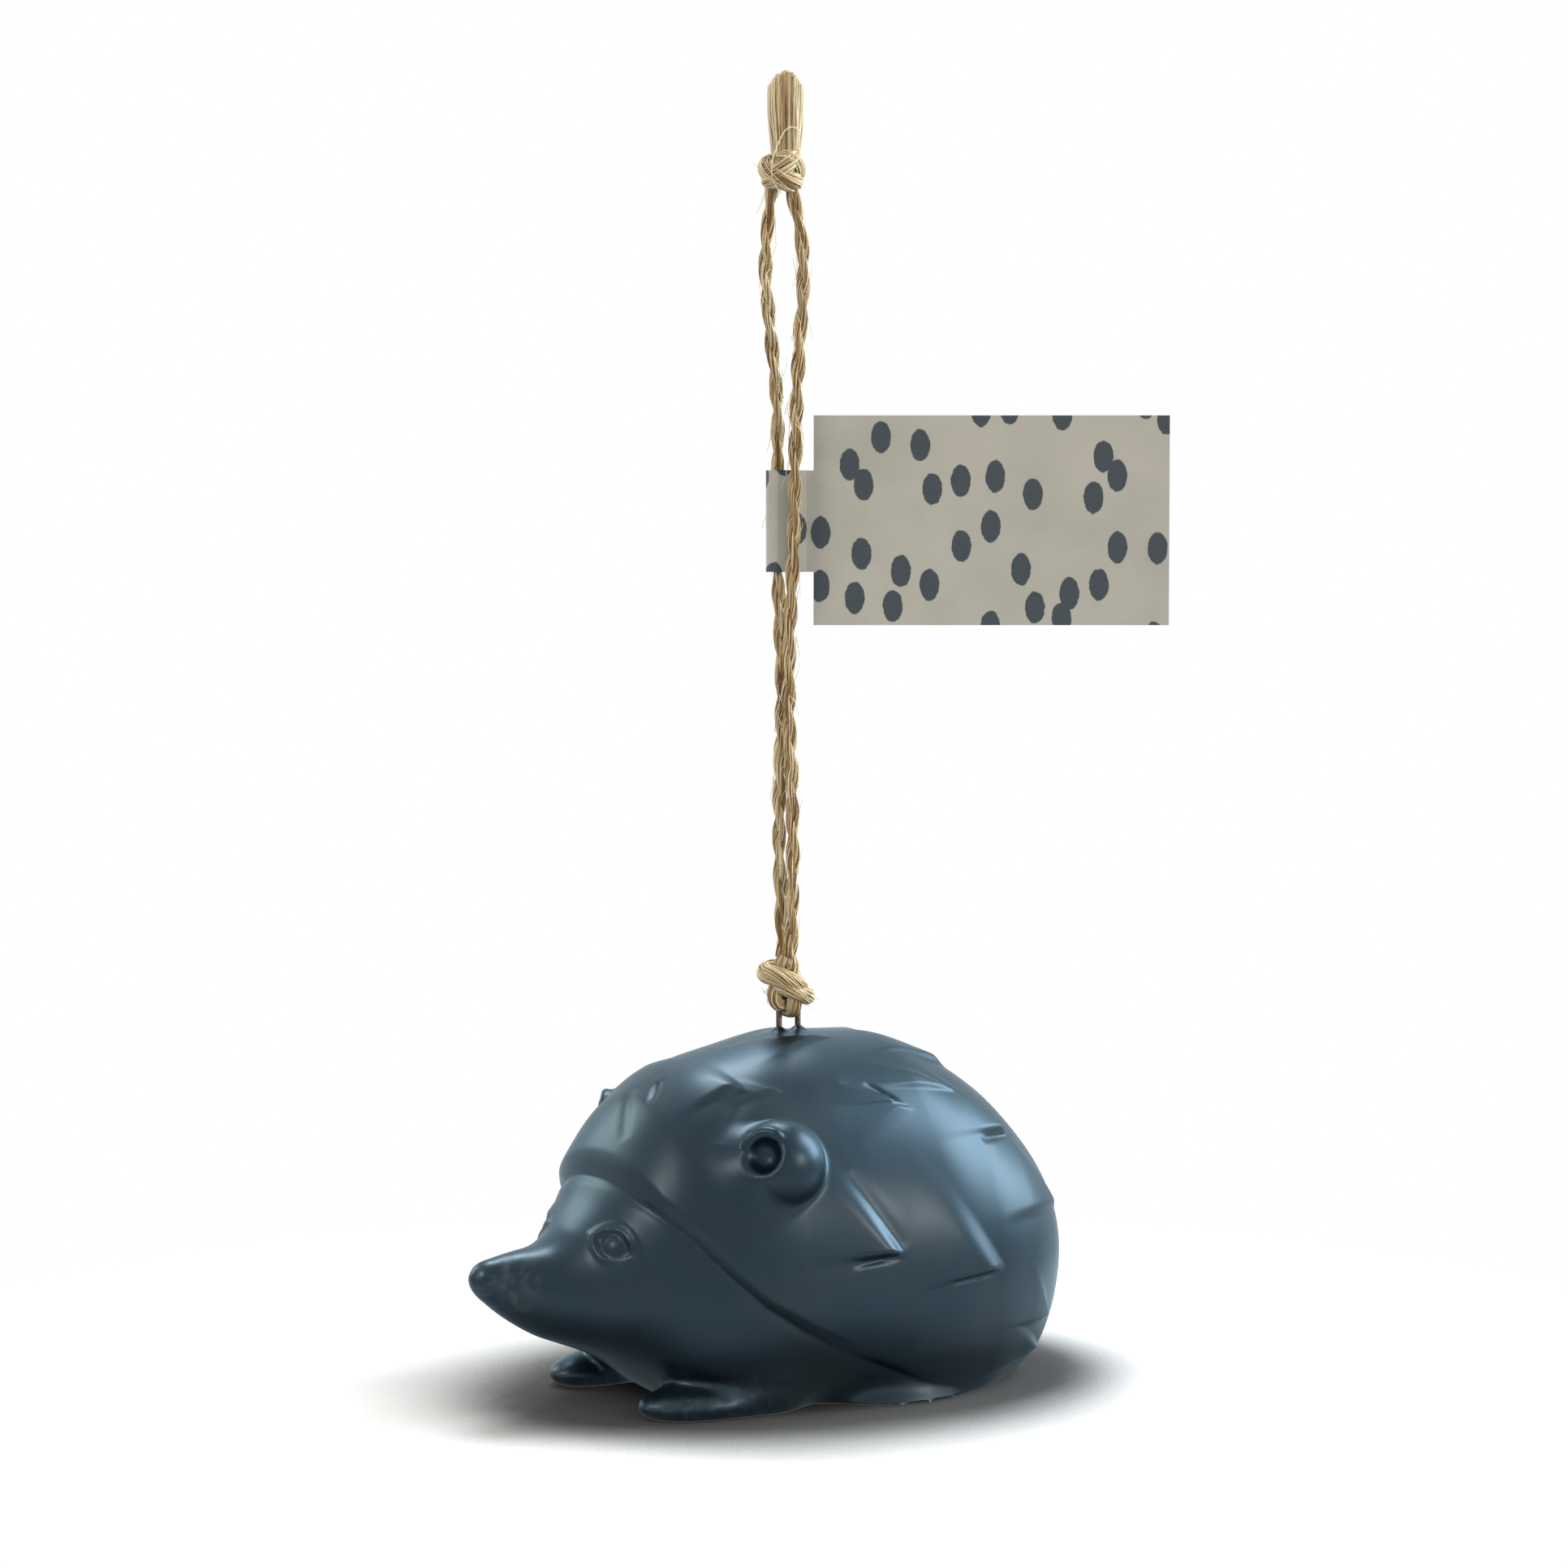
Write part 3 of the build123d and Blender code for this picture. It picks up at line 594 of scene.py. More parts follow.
def glaze_material():
    """Satin metallic glaze on slip-cast earthenware: blue-grey clouds with a fine grain under a thin clear
    coat, scuffed where it is handled, and wiped off the foot, where the pale clay shows."""
    material, tree, shader, place = new_material("satin_lustre_glaze")
    # Clouds 18 mm across, scuffs of 1.4 mm, and a grain drawn coarser than it is, so that it shows.
    clouds = add_node(tree, "TexNoise", inputs=noise(place, 18.2, 3.0))
    patches = add_node(tree, "TexNoise", inputs=noise(place, 1.43, 4.0, 0.6))
    grain = add_node(tree, "TexNoise", inputs=noise(place, 0.385, 3.0, 0.6))
    blues = ((0.34, "#20303b"), (0.5, "#1c2f3b"), (0.66, "#26343c"))
    blue = add_node(tree, "ValToRGB", inputs={"Fac": clouds}, stops=blues)
    greys = ((0.3, "#6c7276"), (0.7, "#92979a"))
    speck = add_node(tree, "ValToRGB", inputs={"Fac": grain}, stops=greys)
    mixed = add_node(
        tree, "Mix", COLOURS | {"blend_type": "OVERLAY"}, {"Factor": 0.3, "A": blue, "B": speck}
    )
    height = add_node(tree, "SeparateXYZ", inputs={"Vector": place}).outputs["Z"]
    foot = mapped(height, (BASE + 0.1) * MM, (BASE + 0.3) * MM, 0.4, 0.0)
    bare = add_node(tree, "MapRange", SMOOTH, foot)
    dressed = add_node(tree, "Mix", COLOURS, {"Factor": bare, "A": mixed, "B": colour("#c8bda9")})
    worn = add_node(tree, "Attribute", {"attribute_name": "worn"}).outputs["Fac"]
    spots = add_node(tree, "MapRange", SMOOTH, mapped(patches, 0.4, 0.68, 0.0, 0.22))
    scuffs = add_node(tree, "Math", {"operation": "MULTIPLY"}, {0: worn, 1: spots})
    scuffed = add_node(tree, "Mix", COLOURS, {"Factor": scuffs, "A": dressed, "B": colour("#5f6a6b")})
    look = {
        "Base Color": scuffed,
        "Metallic": 0.8,
        "Roughness": add_node(tree, "MapRange", inputs=mapped(clouds, 0.3, 0.7, 0.36, 0.43)),
        "Specular Tint": colour("#d6f0ff"),
        "Coat Weight": 0.2,
        "Coat Roughness": 0.3,
        "Normal": add_node(tree, "Bump", inputs={"Height": grain, "Strength": 0.12, "Distance": 0.05 * MM}),
    }
    set_sockets(tree, shader, look)
    return material


def wire_material():
    """Drawn iron wire, fired bare: dark grey with brown scale."""
    material, tree, shader, place = new_material("fired_iron_wire")
    flakes = add_node(tree, "TexNoise", inputs=noise(place, 0.667, 4.0))
    browns = ((0.35, "#2c2724"), (0.5, "#4a433d"), (0.68, "#6e6358"))
    rust = add_node(tree, "ValToRGB", inputs={"Fac": flakes}, stops=browns)
    bump = add_node(tree, "Bump", inputs={"Height": flakes, "Strength": 0.5, "Distance": 0.08 * MM})
    set_sockets(tree, shader, {"Base Color": rust, "Metallic": 0.6, "Roughness": 0.5, "Normal": bump})
    return material


def jute_material():
    """Spun jute: each fibre has its own tint and streaks along its length, dull with a slight sheen."""
    material, tree, shader, place = new_material("jute_fibre")
    # Streaks 0.11 mm wide and eight times as long, near upright as the twine is.
    stretch = add_node(tree, "Mapping", inputs={"Vector": place, "Scale": (1.0, 1.0, 0.12)})
    streak = add_node(tree, "TexNoise", inputs=noise(stretch, 0.111, 2.0))
    tint = add_node(tree, "Attribute", {"attribute_name": "tint"}).outputs["Fac"]
    added = {"operation": "MULTIPLY_ADD", "use_clamp": True}
    both = add_node(tree, "Math", added, {0: streak, 1: 0.45, 2: tint})
    straws = ((0.12, "#593f20"), (0.4, "#8d6d3f"), (0.68, "#b69b69"), (0.95, "#dacfac"))
    look = {
        "Base Color": add_node(tree, "ValToRGB", inputs={"Fac": both}, stops=straws),
        "Roughness": 0.62,
        "Sheen Weight": 0.25,
        "Sheen Roughness": 0.4,
        "Normal": add_node(tree, "Bump", inputs={"Height": streak, "Strength": 0.5, "Distance": 0.06 * MM}),
    }
    set_sockets(tree, shader, look)
    return material


def card_material():
    """Uncoated grey card, printed on both sides with loose dark spots that have slightly ragged edges."""
    material, tree, shader, place = new_material("spotted_card")
    turn = {"Vector": place, "Rotation": (0.0, 0.0, -radians(LOOP_TURN))}
    flat = add_node(tree, "Mapping", {"vector_type": "TEXTURE"}, turn)
    split = add_node(tree, "SeparateXYZ", inputs={"Vector": flat}).outputs
    leaf = add_node(tree, "CombineXYZ", inputs={"X": split["X"], "Y": split["Z"], "Z": 0.0})
    # The spots are 5.4 mm apart, longer one way than the other, and lean by 16 degrees.
    lean = {"Vector": leaf, "Rotation": (0.0, 0.0, radians(16.0)), "Scale": (1.0, 0.62, 1.0)}
    cells = {"Vector": add_node(tree, "Mapping", inputs=lean), "Scale": 1 / (5.405 * MM), "Randomness": 0.72}
    distance = add_node(tree, "TexVoronoi", {"voronoi_dimensions": "2D"}, cells)
    # The ink's edge wavers over 0.67 mm, the card's tone over 17 mm, and its pulp is drawn coarse to show.
    edge = add_node(tree, "TexNoise", inputs=noise(place, 0.667, 1.0))
    wash = add_node(tree, "TexNoise", inputs=noise(place, 16.7, 4.0, 0.6))
    pulp = add_node(tree, "TexNoise", inputs=noise(place, 0.2, 3.0))
    ragged = add_node(tree, "Math", {"operation": "MULTIPLY_ADD"}, {0: edge, 1: 0.05, 2: distance})
    ink = add_node(tree, "MapRange", SMOOTH, mapped(ragged, 0.262, 0.285, 1.0, 0.0))
    greys = ((0.3, "#a9aba2"), (0.5, "#b2b3a9"), (0.7, "#babab0"))
    paper = add_node(tree, "ValToRGB", inputs={"Fac": wash}, stops=greys)
    blacks = ((0.3, "#2f3a41"), (0.7, "#3d4951"))
    print_ink = add_node(tree, "ValToRGB", inputs={"Fac": pulp}, stops=blacks)
    mixed = add_node(tree, "Mix", COLOURS, {"Factor": ink, "A": paper, "B": print_ink})
    bump = add_node(tree, "Bump", inputs={"Height": pulp, "Strength": 0.25, "Distance": 0.04 * MM})
    set_sockets(tree, shader, {"Base Color": mixed, "Roughness": 0.68, "Normal": bump})
    return material


# The block of space that the figure is sculpted in.
GRID_LOW = (-51.0, -30.0, -1.3)
GRID_HIGH = (44.0, 30.0, 54.0)


def make_figure(material):
    """The casting, sculpted as one smooth form, standing where the CAD body stands."""
    step = 0.7
    lines = [np.arange(a, b + step, step) for a, b in zip(GRID_LOW, GRID_HIGH)]
    grid = np.meshgrid(*lines, indexing="ij")
    points, quads = surface_net(figure_distance(*grid), GRID_LOW, step)
    points = settle(points, quads, 1)
    figure = new_piece("ceramic_figure", points, quads, "figurine", material)
    halving = figure.modifiers.new("halving", "SUBSURF")
    halving.subdivision_type = "CATMULL_CLARK"
    halving.levels = 1
    ready = figure.evaluated_get(bpy.context.evaluated_depsgraph_get())
    mesh = bpy.data.meshes.new_from_object(ready)
    figure.modifiers.clear()
    figure.data = mesh
    fine = np.empty(len(mesh.vertices) * 3)
    mesh.vertices.foreach_get("co", fine)
    corners = np.empty(len(mesh.loops), int)
    mesh.loops.foreach_get("vertex_index", corners)
    fine = settle(fine.reshape(-1, 3), corners.reshape(-1, 4), 3)
    worn = worn_share(*fine.T)
    fine[:, 2] += BASE
    mesh.vertices.foreach_set("co", (fine * MM).ravel())
    mesh.update()
    mesh.shade_smooth()
    mesh.attributes.new("worn", "FLOAT", "POINT").data.foreach_set("value", worn)
    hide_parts("hedgehog_body")


# The twine's radius, and as shares of it how far out its two plies and their fibres lie, and how thick the
# fibres and the core inside them are. Plies and fibres make one turn in these lengths.
TWINE_RADIUS = 0.95
PLY_OUT_SHARE = 0.41
FIBRE_OUT_SHARE = 0.49
FIBRE_SHARE = 0.105
CORE_SHARE = 0.48
FIBRES_PER_PLY = 17
PLY_TURN_LENGTH = 11.0
FIBRE_TURN_LENGTH = 16.0
# The slack wraps of the knots: one turn's length, the fibres' radius, and how fast a wrap's end swells.
WRAP_TURN_LENGTH = 26.0
WRAP_FIBRE_RADIUS = 0.1
WRAP_END = 1.2
KNOT_HEIGHT = -104.9
TOP_KNOT_HEIGHT = 3.9
BIGHT_RADIUS = 0.95
BIGHT_BEND = 1.5
BIGHT_RISE = 2.2
EYE_HEIGHT = -108.0
# The cut ends over the top knot: fibres of each, the turn from one fibre to the next, how far each end's
# middle lies aside at the foot and at the top, and the least and greatest radius of the ends there.
TAIL_FIBRES = 120
TAIL_FIBRE_TURN = 2.4
TAIL_FIBRE_STEPS = 10
TAIL_FOOT = 5.2
TAIL_TOP = 17.1
TAIL_MIDDLE = -0.35
TAIL_FOOT_ASIDE = 0.82
TAIL_TOP_ASIDE = 1.05
TAIL_FOOT_RADII = (0.95, 1.1)
TAIL_TOP_RADII = (1.3, 1.45)
# Radii of the fine loose fibres, and the end of a wave's random start, about one turn.
LOOSE_RADIUS = 0.085
STRAY_RADII = (0.05, 0.028)
ANY_START = 6.3

# The strands' lines, as the part has them: along the loop's plane, towards the viewer, and height.
LEFT_ROUTE = (
    (-2.15, -0.10, 2.2), (-3.35, -0.50, -6.0), (-2.75, -0.85, -15.5), (-1.45, -1.0, -26.0),
    (-1.45, -1.0, -35.7), (-1.45, -1.0, -50.6), (-1.05, -0.98, -59.0), (-0.85, -0.88, -68.0),
    (-1.22, -0.50, -78.0), (-1.25, -0.36, -88.5), (-0.95, -0.66, -96.0), (-0.80, -0.78, -102.2),
)
RIGHT_ROUTE = (
    (0.10, 0.15, 2.2), (1.75, 0.40, -4.0), (2.10, 0.75, -10.5), (1.45, 1.35, -19.5), (1.00, 1.60, -29.0),
    (0.85, 1.62, -39.0), (0.60, 1.60, -49.0), (0.15, 1.25, -58.5), (0.00, 0.95, -68.0),
    (0.50, 0.48, -78.0), (0.62, 0.34, -88.5), (0.52, 0.74, -96.0), (0.35, 0.90, -102.2),
)
# The wraps of each knot: the fibres' radius, then the line of the wrap's middle, along the loop's plane,
# towards the viewer, and height over the knot's middle.
LOWER_WRAPS = (
    (1.35, (
        (1.0, -1.4, 0.3), (-0.9, -1.9, 0.8), (-2.6, -1.2, 0.9), (-3.2, 0.5, 0.5), (-1.6, 1.8, 0.3),
        (0.2, 1.9, -0.5), (1.5, 1.1, -1.2), (1.3, -0.3, -1.5),
    )),
    (1.1, (
        (-2.2, 0.4, -1.2), (-0.9, 1.6, -1.3), (0.5, 1.9, -1.7), (2.1, 1.3, -2.4), (2.7, -0.1, -2.8),
        (1.5, -1.4, -2.2), (0.2, -1.6, -1.2),
    )),
    (0.95, ((-1.0, 0.9, -0.6), (-2.0, 1.3, -1.6), (-1.9, 1.3, -3.0), (-1.3, 1.1, -3.9), (-0.6, 0.3, -3.3))),
    (0.8, ((0.8, 1.2, -1.8), (1.6, 0.8, -2.7), (1.4, -0.1, -3.1), (1.0, -0.8, -2.2))),
    (1.5, ((-0.4, -0.4, 0.9), (-0.2, 0.0, -0.5), (0.0, 0.0, -2.0))),
    (1.0, ((-0.8, -0.78, 2.85), (-1.1, -0.6, 1.2), (-0.9, 0.0, -0.6))),
    (1.0, ((0.35, 0.9, 2.85), (0.5, 0.8, 1.2), (0.4, 0.2, -0.6))),
)
TOP_WRAPS = (
    (1.35, (
        (0.8, -1.0, -1.3), (0.8, 0.9, -1.8), (-0.7, 1.9, -1.5), (-2.3, 1.5, -0.6), (-3.0, -0.1, 0.4),
        (-2.1, -1.4, 1.1), (-0.3, -1.6, 1.2),
    )),
    (1.25, (
        (-2.6, -0.9, -1.2), (-2.5, 0.9, -1.6), (-1.2, 1.9, -0.4), (0.1, 1.5, 0.9), (0.7, 0.0, 1.8),
        (-0.2, -1.2, 1.9),
    )),
    (1.2, (
        (-1.6, 1.3, 1.4), (-0.2, 1.4, 1.5), (0.9, 0.7, 0.6), (1.1, -0.6, -0.4), (-0.2, -1.5, -1.2),
        (-1.8, -1.2, -1.3),
    )),
    (1.6, ((-1.0, 0.0, -1.9), (-0.9, 0.0, 0.0), (-0.7, 0.0, 2.1))),
)
# A single fibre that has come loose from the top knot and lies up the cut ends.
LOOSE_FIBRE = (
    (-1.0, 2.3, 0.6), (-2.1, 3.1, 1.6), (-2.4, 3.3, 4.4), (-1.3, 3.0, 7.4), (-0.3, 2.2, 9.3), (0.9, 1.6, 9.5),
    (1.5, 0.6, 9.0),
)


def loop_point(across, towards, height):
    """A point given along the plane of the loop, towards the viewer, and above the hook point."""
    turn = radians(LOOP_TURN)
    return (across * cos(turn) - towards * sin(turn), -across * sin(turn) - towards * cos(turn), height)


def follow(name, points):
    """Lays a spline through the route's points, in metres, and reads the line it makes."""
    data = bpy.data.curves.new(name, "CURVE")
    data.dimensions = "3D"
    data.resolution_u = 10
    spline = data.splines.new("NURBS")
    spline.points.add(len(points) - 1)
    for knot, point in zip(spline.points, points):
        knot.co = (*(Vector(point) * MM), 1.0)
    spline.order_u = 3
    spline.use_endpoint_u = True
    holder = new_object(name, data)
    line = bpy.data.meshes.new_from_object(holder.evaluated_get(bpy.context.evaluated_depsgraph_get()))
    places = [tuple(vertex.co) for vertex in line.vertices]
    bpy.data.objects.remove(holder)
    return places


def even_line(places, step):
    """The same line with points an even step apart, in millimetres."""
    line = np.array(places) / MM
    gone = np.concatenate([[0], np.cumsum(np.linalg.norm(np.diff(line, axis=0), axis=1))])
    along = np.linspace(0, gone[-1], max(int(gone[-1] / step), 4) + 1)
    return np.stack([np.interp(along, gone, line[:, k]) for k in range(3)], 1), along


def line_frames(line):
    """Two ways square to a line at each point that don't spin round it."""
    ways = np.gradient(line, axis=0)
    ways /= np.linalg.norm(ways, axis=1)[:, None]
    first = np.cross(ways[0], (0.31, 0.95, 0.05))
    firsts = []
    for way in ways:
        first = unit(first - way * np.dot(first, way))
        firsts.append(first)
    firsts = np.array(firsts)
    return firsts, np.cross(ways, firsts)


def beside(line, out, angle, frames):
    """A line moved aside, point by point, by a distance and at an angle round it."""
    firsts, seconds = frames
    return line + (out * np.cos(angle))[:, None] * firsts + (out * np.sin(angle))[:, None] * seconds


def ripple(along, shortest, longest):
    """A wave along a line, of a random length and start."""
    return np.sin(along / random.uniform(shortest, longest) + random.uniform(0, ANY_START))


def ply_fibres(line, along, radius, start):
    """The fibres of a two-ply twine on a line: each fibre's own line, its thickness and its tint."""
    frames = line_frames(line)
    fibres = []
    for ply in (0, 1):
        turn = start + pi * ply - 2 * pi * along / PLY_TURN_LENGTH
        middle = beside(line, PLY_OUT_SHARE * radius, turn, frames)
        # Painted shade: a near-black core under the fibres, so the gaps between them read as shade.
        fibres.append((middle, np.full(len(line), CORE_SHARE * radius), 0.02))
        for k in range(FIBRES_PER_PLY):
            sway = 0.25 * ripple(along, 2.0, 5.0)
            angle = 2 * pi * (k + random.uniform(-0.25, 0.25)) / FIBRES_PER_PLY + sway
            angle = angle + 2 * pi * along / FIBRE_TURN_LENGTH
            out = FIBRE_OUT_SHARE * radius * (1 + 0.12 * ripple(along, 1.2, 4.0))
            lane = beside(middle, out, angle, frames)
            thick = FIBRE_SHARE * radius * random.uniform(0.7, 1.3)
            fibres.append((lane, np.full(len(line), thick), random.uniform(0.05, 0.75)))
    return fibres


def wrap_fibres(line, along, radius):
    """The slack fibres of a wrap in a knot: fine ones all round a core, tucked in at both ends."""
    frames = line_frames(line)
    ends = np.minimum(along, along[-1] - along)
    body = radius * (0.55 + 0.45 * smooth_step(ends / WRAP_END))
    # Painted shade: the core is tinted darker than most fibres, so the gaps over it read as shade.
    fibres = [(line, 0.88 * body, 0.3)]
    count = int(2 * pi * radius / (1.7 * WRAP_FIBRE_RADIUS))
    start = random.uniform(0, ANY_START)
    for k in range(count):
        sway = random.uniform(0.05, 0.3) * ripple(along, 1.0, 3.0)
        angle = start + 2 * pi * (k + random.uniform(-0.3, 0.3)) / count + sway
        angle = angle + 2 * pi * along / WRAP_TURN_LENGTH
        lane = beside(line, body * (0.93 + 0.06 * ripple(along, 0.8, 2.0)), angle, frames)
        thick = np.full(len(line), WRAP_FIBRE_RADIUS * random.uniform(0.7, 1.4))
        fibres.append((lane, thick, random.uniform(0.15, 0.95)))
    return fibres


def tubes(fibres, sides):
    """Round tubes along fibres, closed at both ends: points, faces and a tint for each point."""
    points, faces, tints = [], [], []
    number = 0
    ring = 2 * pi * np.arange(sides) / sides
    across, up = np.cos(ring)[None, :, None], np.sin(ring)[None, :, None]
    for line, thick, tint in fibres:
        firsts, seconds = line_frames(line)
        outward = across * firsts[:, None] + up * seconds[:, None]
        points.append((line[:, None] + thick[:, None, None] * outward).reshape(-1, 3))
        tints.append(np.full(len(line) * sides, tint))
        here = number + np.arange(sides)
        there = number + (np.arange(sides) + 1) % sides
        for shift in range(0, (len(line) - 1) * sides, sides):
            faces.extend(zip(here + shift, there + shift, there + shift + sides, here + shift + sides))
        faces.append(tuple(here[::-1]))
        faces.append(tuple(here + (len(line) - 1) * sides))
        number += len(line) * sides
    return np.concatenate(points), faces, np.concatenate(tints)


def fibre_piece(name, fibres, body, material, sides=5):
    """A piece made of fibres, each with its own tint."""
    points, faces, tints = tubes(fibres, sides)
    piece = new_piece(name, points * MM, faces, body, material)
    piece.data.attributes.new("tint", "FLOAT", "POINT").data.foreach_set("value", tints)
    return piece


def make_strand(name, route, start, body, material):
    """One strand of the twine: the plied mesh and the line that it follows."""
    places = follow(name + "_line", [loop_point(*point) for point in route])
    line, along = even_line(places, 0.45)
    return fibre_piece(name, ply_fibres(line, along, TWINE_RADIUS, start), body, material), places


def make_knot(name, wraps, middle, body, material):
    """A knot: wraps of slack fibres laid one over the other, with fine loose fibres over them."""
    fibres = []
    lines = []
    for radius, wrap in wraps:
        places = follow(name + "_line", [loop_point(a, t, middle + h) for a, t, h in wrap])
        line, along = even_line(places, 0.3)
        fibres += wrap_fibres(line, along, radius)
        lines.append((line, radius))
    return fibre_piece(name, fibres + loose_fibres(lines, 46, 2.6), body, material)


def make_bight(material):
    """The bottom of the twine's loop, squeezed round the eye's bar."""
    down = [(0, -BIGHT_BEND, EYE_HEIGHT + rise) for rise in (BIGHT_RISE, 0, -BIGHT_BEND)]
    up = [(0, -aside, height) for _, aside, height in down[::-1]]
    line, along = even_line(follow("bight_line", down + up), 0.25)
    return fibre_piece("jute_bight", wrap_fibres(line, along, BIGHT_RADIUS), "bight", material)


def make_tails(material):
    """The two cut ends, untwisted above the knot and clipped to one rounded top, with a loose fibre."""
    fibres = []
    for side in (-1, 1):
        for k in range(TAIL_FIBRES):
            share = ((k + 0.5) / TAIL_FIBRES) ** 0.5
            angle = TAIL_FIBRE_TURN * k
            across, towards = share * cos(angle), share * sin(angle)
            foot_radius, top_radius = random.uniform(*TAIL_FOOT_RADII), random.uniform(*TAIL_TOP_RADII)
            top_across = side * TAIL_TOP_ASIDE + across * top_radius
            dome = 0.36 * top_across**2 + 0.35 * towards**2
            top = TAIL_TOP - dome + random.uniform(-0.3, 0.1)
            sway, start = random.uniform(-0.22, 0.22), random.uniform(0, ANY_START)
            line = []
            for step in range(TAIL_FIBRE_STEPS + 1):
                t = step / TAIL_FIBRE_STEPS
                spread = smooth_step(t * 1.3)
                radius = foot_radius + (top_radius - foot_radius) * spread
                aside = TAIL_FOOT_ASIDE + (TAIL_TOP_ASIDE - TAIL_FOOT_ASIDE) * spread
                wave = sway * sin(4.5 * t + start) * sin(pi * min(t * 1.15, 1.0))
                line.append(
                    loop_point(
                        TAIL_MIDDLE + side * aside + across * radius + wave,
                        towards * radius + 0.12 * sin(5 * t + 2 * k),
                        TAIL_FOOT + (top - TAIL_FOOT) * t,
                    )
                )
            # Painted shade and light: fibres inside the tuft are tinted darker and those towards its sides
            # lighter, with a random tint on top.
            edge = min(abs(top_across) / 2.3, 1.0)
            tint = 0.42 + 0.45 * edge**2 + random.uniform(-0.15, 0.3)
            thick = np.linspace(0.11, 0.15, len(line)) * random.uniform(0.7, 1.2)
            fibres.append((np.array(line), thick, tint))
    line, _ = even_line(follow("loose_fibre_line", [loop_point(*point) for point in LOOSE_FIBRE]), 0.4)
    fibres.append((line, np.full(len(line), LOOSE_RADIUS), 0.98))
    return fibre_piece("jute_tails", fibres, "hanger", material)


def loose_fibres(lines, count, reach):
    """Loose pale fibres that stand off the twine's lines and lie over it."""
    fibres = []
    t = np.linspace(0, 1, 8)[:, None]
    for _ in range(count):
        line, radius = random.choice(lines)
        spot = random.randrange(2, len(line) - 3)
        way = unit(line[spot + 1] - line[spot - 1])
        angle = random.uniform(0, 2 * pi)
        firsts, seconds = line_frames(line[spot - 1 : spot + 2])
        out = firsts[1] * cos(angle) + seconds[1] * sin(angle)
        swing = np.cross(way, out)
        length = random.uniform(0.5, 1.0) * reach
        rise, bow = random.uniform(0.05, 0.45), random.uniform(-0.8, 0.8)
        sense = random.choice((-1, 1))
        hair = line[spot] + out * radius * 0.95 + length * (
            sense * way * t * 0.8 + out * rise * t**1.6 * 0.5 + swing * bow * t * (1 - 0.55 * t)
        )
        fibres.append((hair, np.linspace(*STRAY_RADII, len(t)), random.uniform(0.7, 1.0)))
    return fibres


def make_twine(material):
    """The whole length of jute: two strands, two knots, the bight, the cut ends and loose fibres."""
    left, left_line = make_strand("jute_left", LEFT_ROUTE, 0.4, "hanger", material)
    right, right_line = make_strand("jute_right", RIGHT_ROUTE, 1.9, "hanger", material)
    top = make_knot("jute_top_knot", TOP_WRAPS, TOP_KNOT_HEIGHT, "hanger", material)
    lower = make_knot("jute_lower_knot", LOWER_WRAPS, KNOT_HEIGHT, "lower_knot", material)
    bight = make_bight(material)
    tails = make_tails(material)
    runs = [(even_line(line, 0.5)[0], TWINE_RADIUS) for line in (left_line, right_line)]
    strays = fibre_piece("jute_strays", loose_fibres(runs, 90, 5.0), "hanger", material, sides=4)
    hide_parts("twine_left_strand", "twine_neck_core", "twine_left_lower_strand")
    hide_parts("twine_right_strand")
    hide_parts("twine_top_knot")
    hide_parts("twine_lower_knot")
    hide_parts("twine_bight")
    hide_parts("twine_tails")


# The camera: its turn and dip, its distance, how far aside it stands, and the middle height and the width
# of what it frames there.
VIEW_TURN = radians(32.0)
VIEW_DIP = radians(3.0)
VIEW_DISTANCE = 500.0
VIEW_ASIDE = -0.6
FRAME_MIDDLE = 81.3
FRAME_WIDTH = 212.5
SENSOR_WIDTH = 36.0

# The lamps: place to the right of the view, away from it and above the floor, sides, watts and colour.
LAMP_TARGET = 25.0
WARM = (1.0, 0.8, 0.66)
LAMPS = (
    ("softbox_right", (365, 100, 250), (230, 350), 3.3, (0.85, 0.95, 1.0)),
    ("softbox_left", (-345, 230, 235), (130, 160), 0.46, (0.95, 1.0, 0.92)),
    ("softbox_top", (-45, 215, 430), (190, 150), 1.4, (1.0, 1.0, 1.0)),
    ("warm_left", (-290, -230, 270), (130, 130), 0.58, WARM),
    ("warm_right", (360, -270, 160), (130, 130), 0.76, WARM),
)

# The floor: its corners, where it begins and ends to fade, and how far off a thing still darkens the painted
# shadow in its colour.
FLOOR_CORNERS = ((-500, -500), (500, -500), (500, 500), (-500, 500))
FLOOR_FADE = (70.0, 140.0)
FLOOR_PAINTED_SHADOW_REACH = 60.0


def make_camera():
    """The photograph's view, level with the twine and dipping a little."""
    data = bpy.data.cameras.new("studio_camera")
    data.sensor_width = SENSOR_WIDTH
    data.lens = SENSOR_WIDTH * VIEW_DISTANCE / FRAME_WIDTH
    data.clip_start = 10 * MM
    camera = new_object("studio_camera", data)
    level = Vector((sin(VIEW_TURN), cos(VIEW_TURN), 0))
    right = Vector((cos(VIEW_TURN), -sin(VIEW_TURN), 0))
    ahead = level * cos(VIEW_DIP) - Vector((0, 0, sin(VIEW_DIP)))
    middle = Vector((0, 0, BASE + FRAME_MIDDLE))
    camera.location = (middle - ahead * VIEW_DISTANCE + right * VIEW_ASIDE) * MM
    camera.rotation_euler = ahead.to_track_quat("-Z", "Y").to_euler()
    bpy.context.scene.camera = camera
    bpy.context.scene.view_settings.view_transform = "Standard"


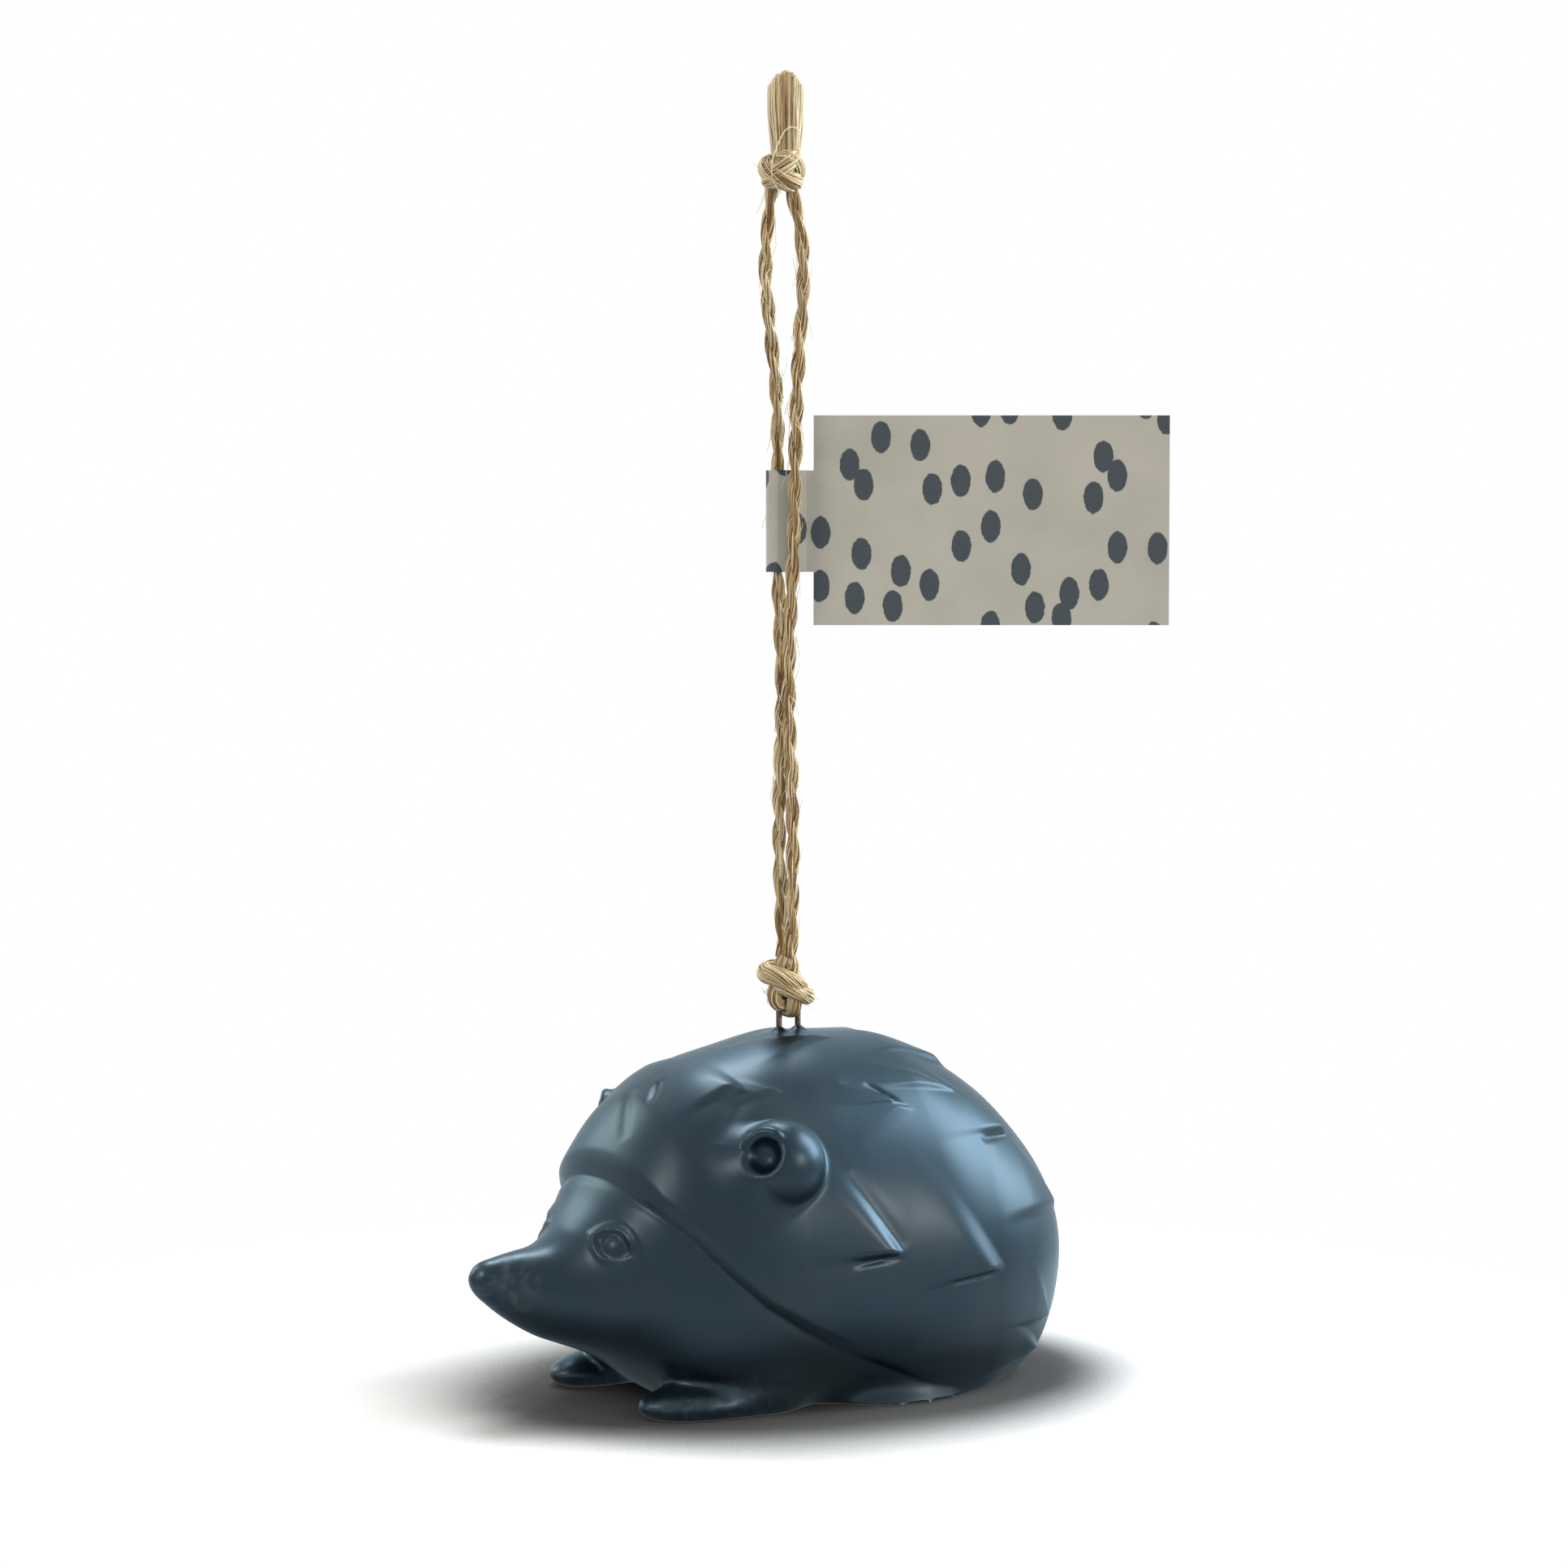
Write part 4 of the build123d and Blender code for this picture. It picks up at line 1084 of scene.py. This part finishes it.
def make_world():
    """White to the eye and in reflections. What lights the scene is a pale sky, brighter overhead."""
    world = bpy.data.worlds.new("white_studio")
    bpy.context.scene.world = world
    world.use_nodes = True
    tree = world.node_tree
    tree.nodes.clear()
    rays = add_node(tree, "LightPath").outputs
    seen = add_node(tree, "Background", inputs={"Color": (1, 1, 1, 1), "Strength": 1.0})
    way = add_node(tree, "TexCoord").outputs["Generated"]
    rise = add_node(tree, "SeparateXYZ", inputs={"Vector": way}).outputs["Z"]
    strength = add_node(tree, "MapRange", SMOOTH, mapped(rise, -0.25, 0.7, 0.3, 0.7))
    lit = add_node(tree, "Background", inputs={"Color": (0.9, 0.96, 1, 1), "Strength": strength})
    either = {"operation": "MAXIMUM"}
    mirrored = add_node(tree, "Math", either, {0: rays["Is Glossy Ray"], 1: rays["Is Transmission Ray"]})
    plain = add_node(tree, "Math", either, {0: rays["Is Camera Ray"], 1: mirrored})
    surface = add_node(tree, "MixShader", inputs={0: plain, 1: lit, 2: seen})
    add_node(tree, "OutputWorld", inputs={"Surface": surface})


def make_lights():
    """A broad softbox on the right, smaller ones behind left and overhead, and two dim warm ones in front."""
    target = Vector((0, 0, BASE + LAMP_TARGET))
    for name, (aside, ahead, up), sides, watts, tint in LAMPS:
        data = bpy.data.lights.new(name, "AREA")
        data.shape = "RECTANGLE"
        data.size, data.size_y = (side * MM for side in sides)
        data.energy = watts
        data.color = tint
        east = aside * cos(VIEW_TURN) + ahead * sin(VIEW_TURN)
        north = -aside * sin(VIEW_TURN) + ahead * cos(VIEW_TURN)
        place = Vector((east, north, BASE + up))
        lamp = new_object(name, data)
        lamp.location = place * MM
        lamp.rotation_euler = (target - place).to_track_quat("-Z", "Y").to_euler()


def make_floor():
    """White paper under the figure that fades into the studio's white. Its colour darkens as painted shadow
    where the figure hides it from the sky, and glossy rays see it a little brighter than it is lit, as a
    painted reflection."""
    mesh = bpy.data.meshes.new("studio_floor")
    corners = [Vector((x, y, BASE)) * MM for x, y in FLOOR_CORNERS]
    mesh.from_pydata(corners, [], [(0, 1, 2, 3)])
    floor = new_object("studio_floor", mesh)
    material, tree, shader, place = new_material("white_paper_sweep")
    near = {"Distance": FLOOR_PAINTED_SHADOW_REACH * MM}
    # Painted shadow: ambient occlusion within this reach darkens the paper's own colour.
    painted_shadow_occlusion = add_node(tree, "AmbientOcclusion", {"samples": 16}, near).outputs["AO"]
    level = add_node(tree, "Mapping", inputs={"Vector": place, "Scale": (1.0, 1.0, 0.0)})
    away = add_node(tree, "VectorMath", {"operation": "LENGTH"}, {0: level}).outputs["Value"]
    fade = mapped(away, FLOOR_FADE[0] * MM, FLOOR_FADE[1] * MM, 1.0, 0.0)
    look = {
        # Painted shadow: the base colour falls from near white to dark grey as the occlusion grows.
        "Base Color": add_node(tree, "MapRange", SMOOTH, mapped(painted_shadow_occlusion, 0.62, 1.0, 0.07, 0.8)),
        "Roughness": 0.9,
        "Specular IOR Level": 0.1,
        "Alpha": add_node(tree, "MapRange", SMOOTH, fade),
    }
    set_sockets(tree, shader, look)
    # Painted reflection: glossy rays see a fifth of white emission mixed over the paper.
    glossy = add_node(tree, "LightPath").outputs["Is Glossy Ray"]
    mirrored = add_node(tree, "Math", {"operation": "MULTIPLY"}, {0: glossy, 1: 0.2})
    white = add_node(tree, "Emission", inputs={"Color": (1, 1, 1, 1), "Strength": 1.0})
    both = add_node(tree, "MixShader", inputs={0: mirrored, 1: shader, 2: white})
    set_sockets(tree, tree.nodes["Material Output"], {"Surface": both})
    mesh.materials.append(material)


glaze = glaze_material()
iron = wire_material()
jute = jute_material()
card = card_material()

make_camera()
make_world()
make_lights()
make_floor()
make_figure(glaze)
make_twine(jute)

for node, material in (("wire_eye", iron), ("swing_tag", card)):
    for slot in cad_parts[node].material_slots:
        slot.material = material
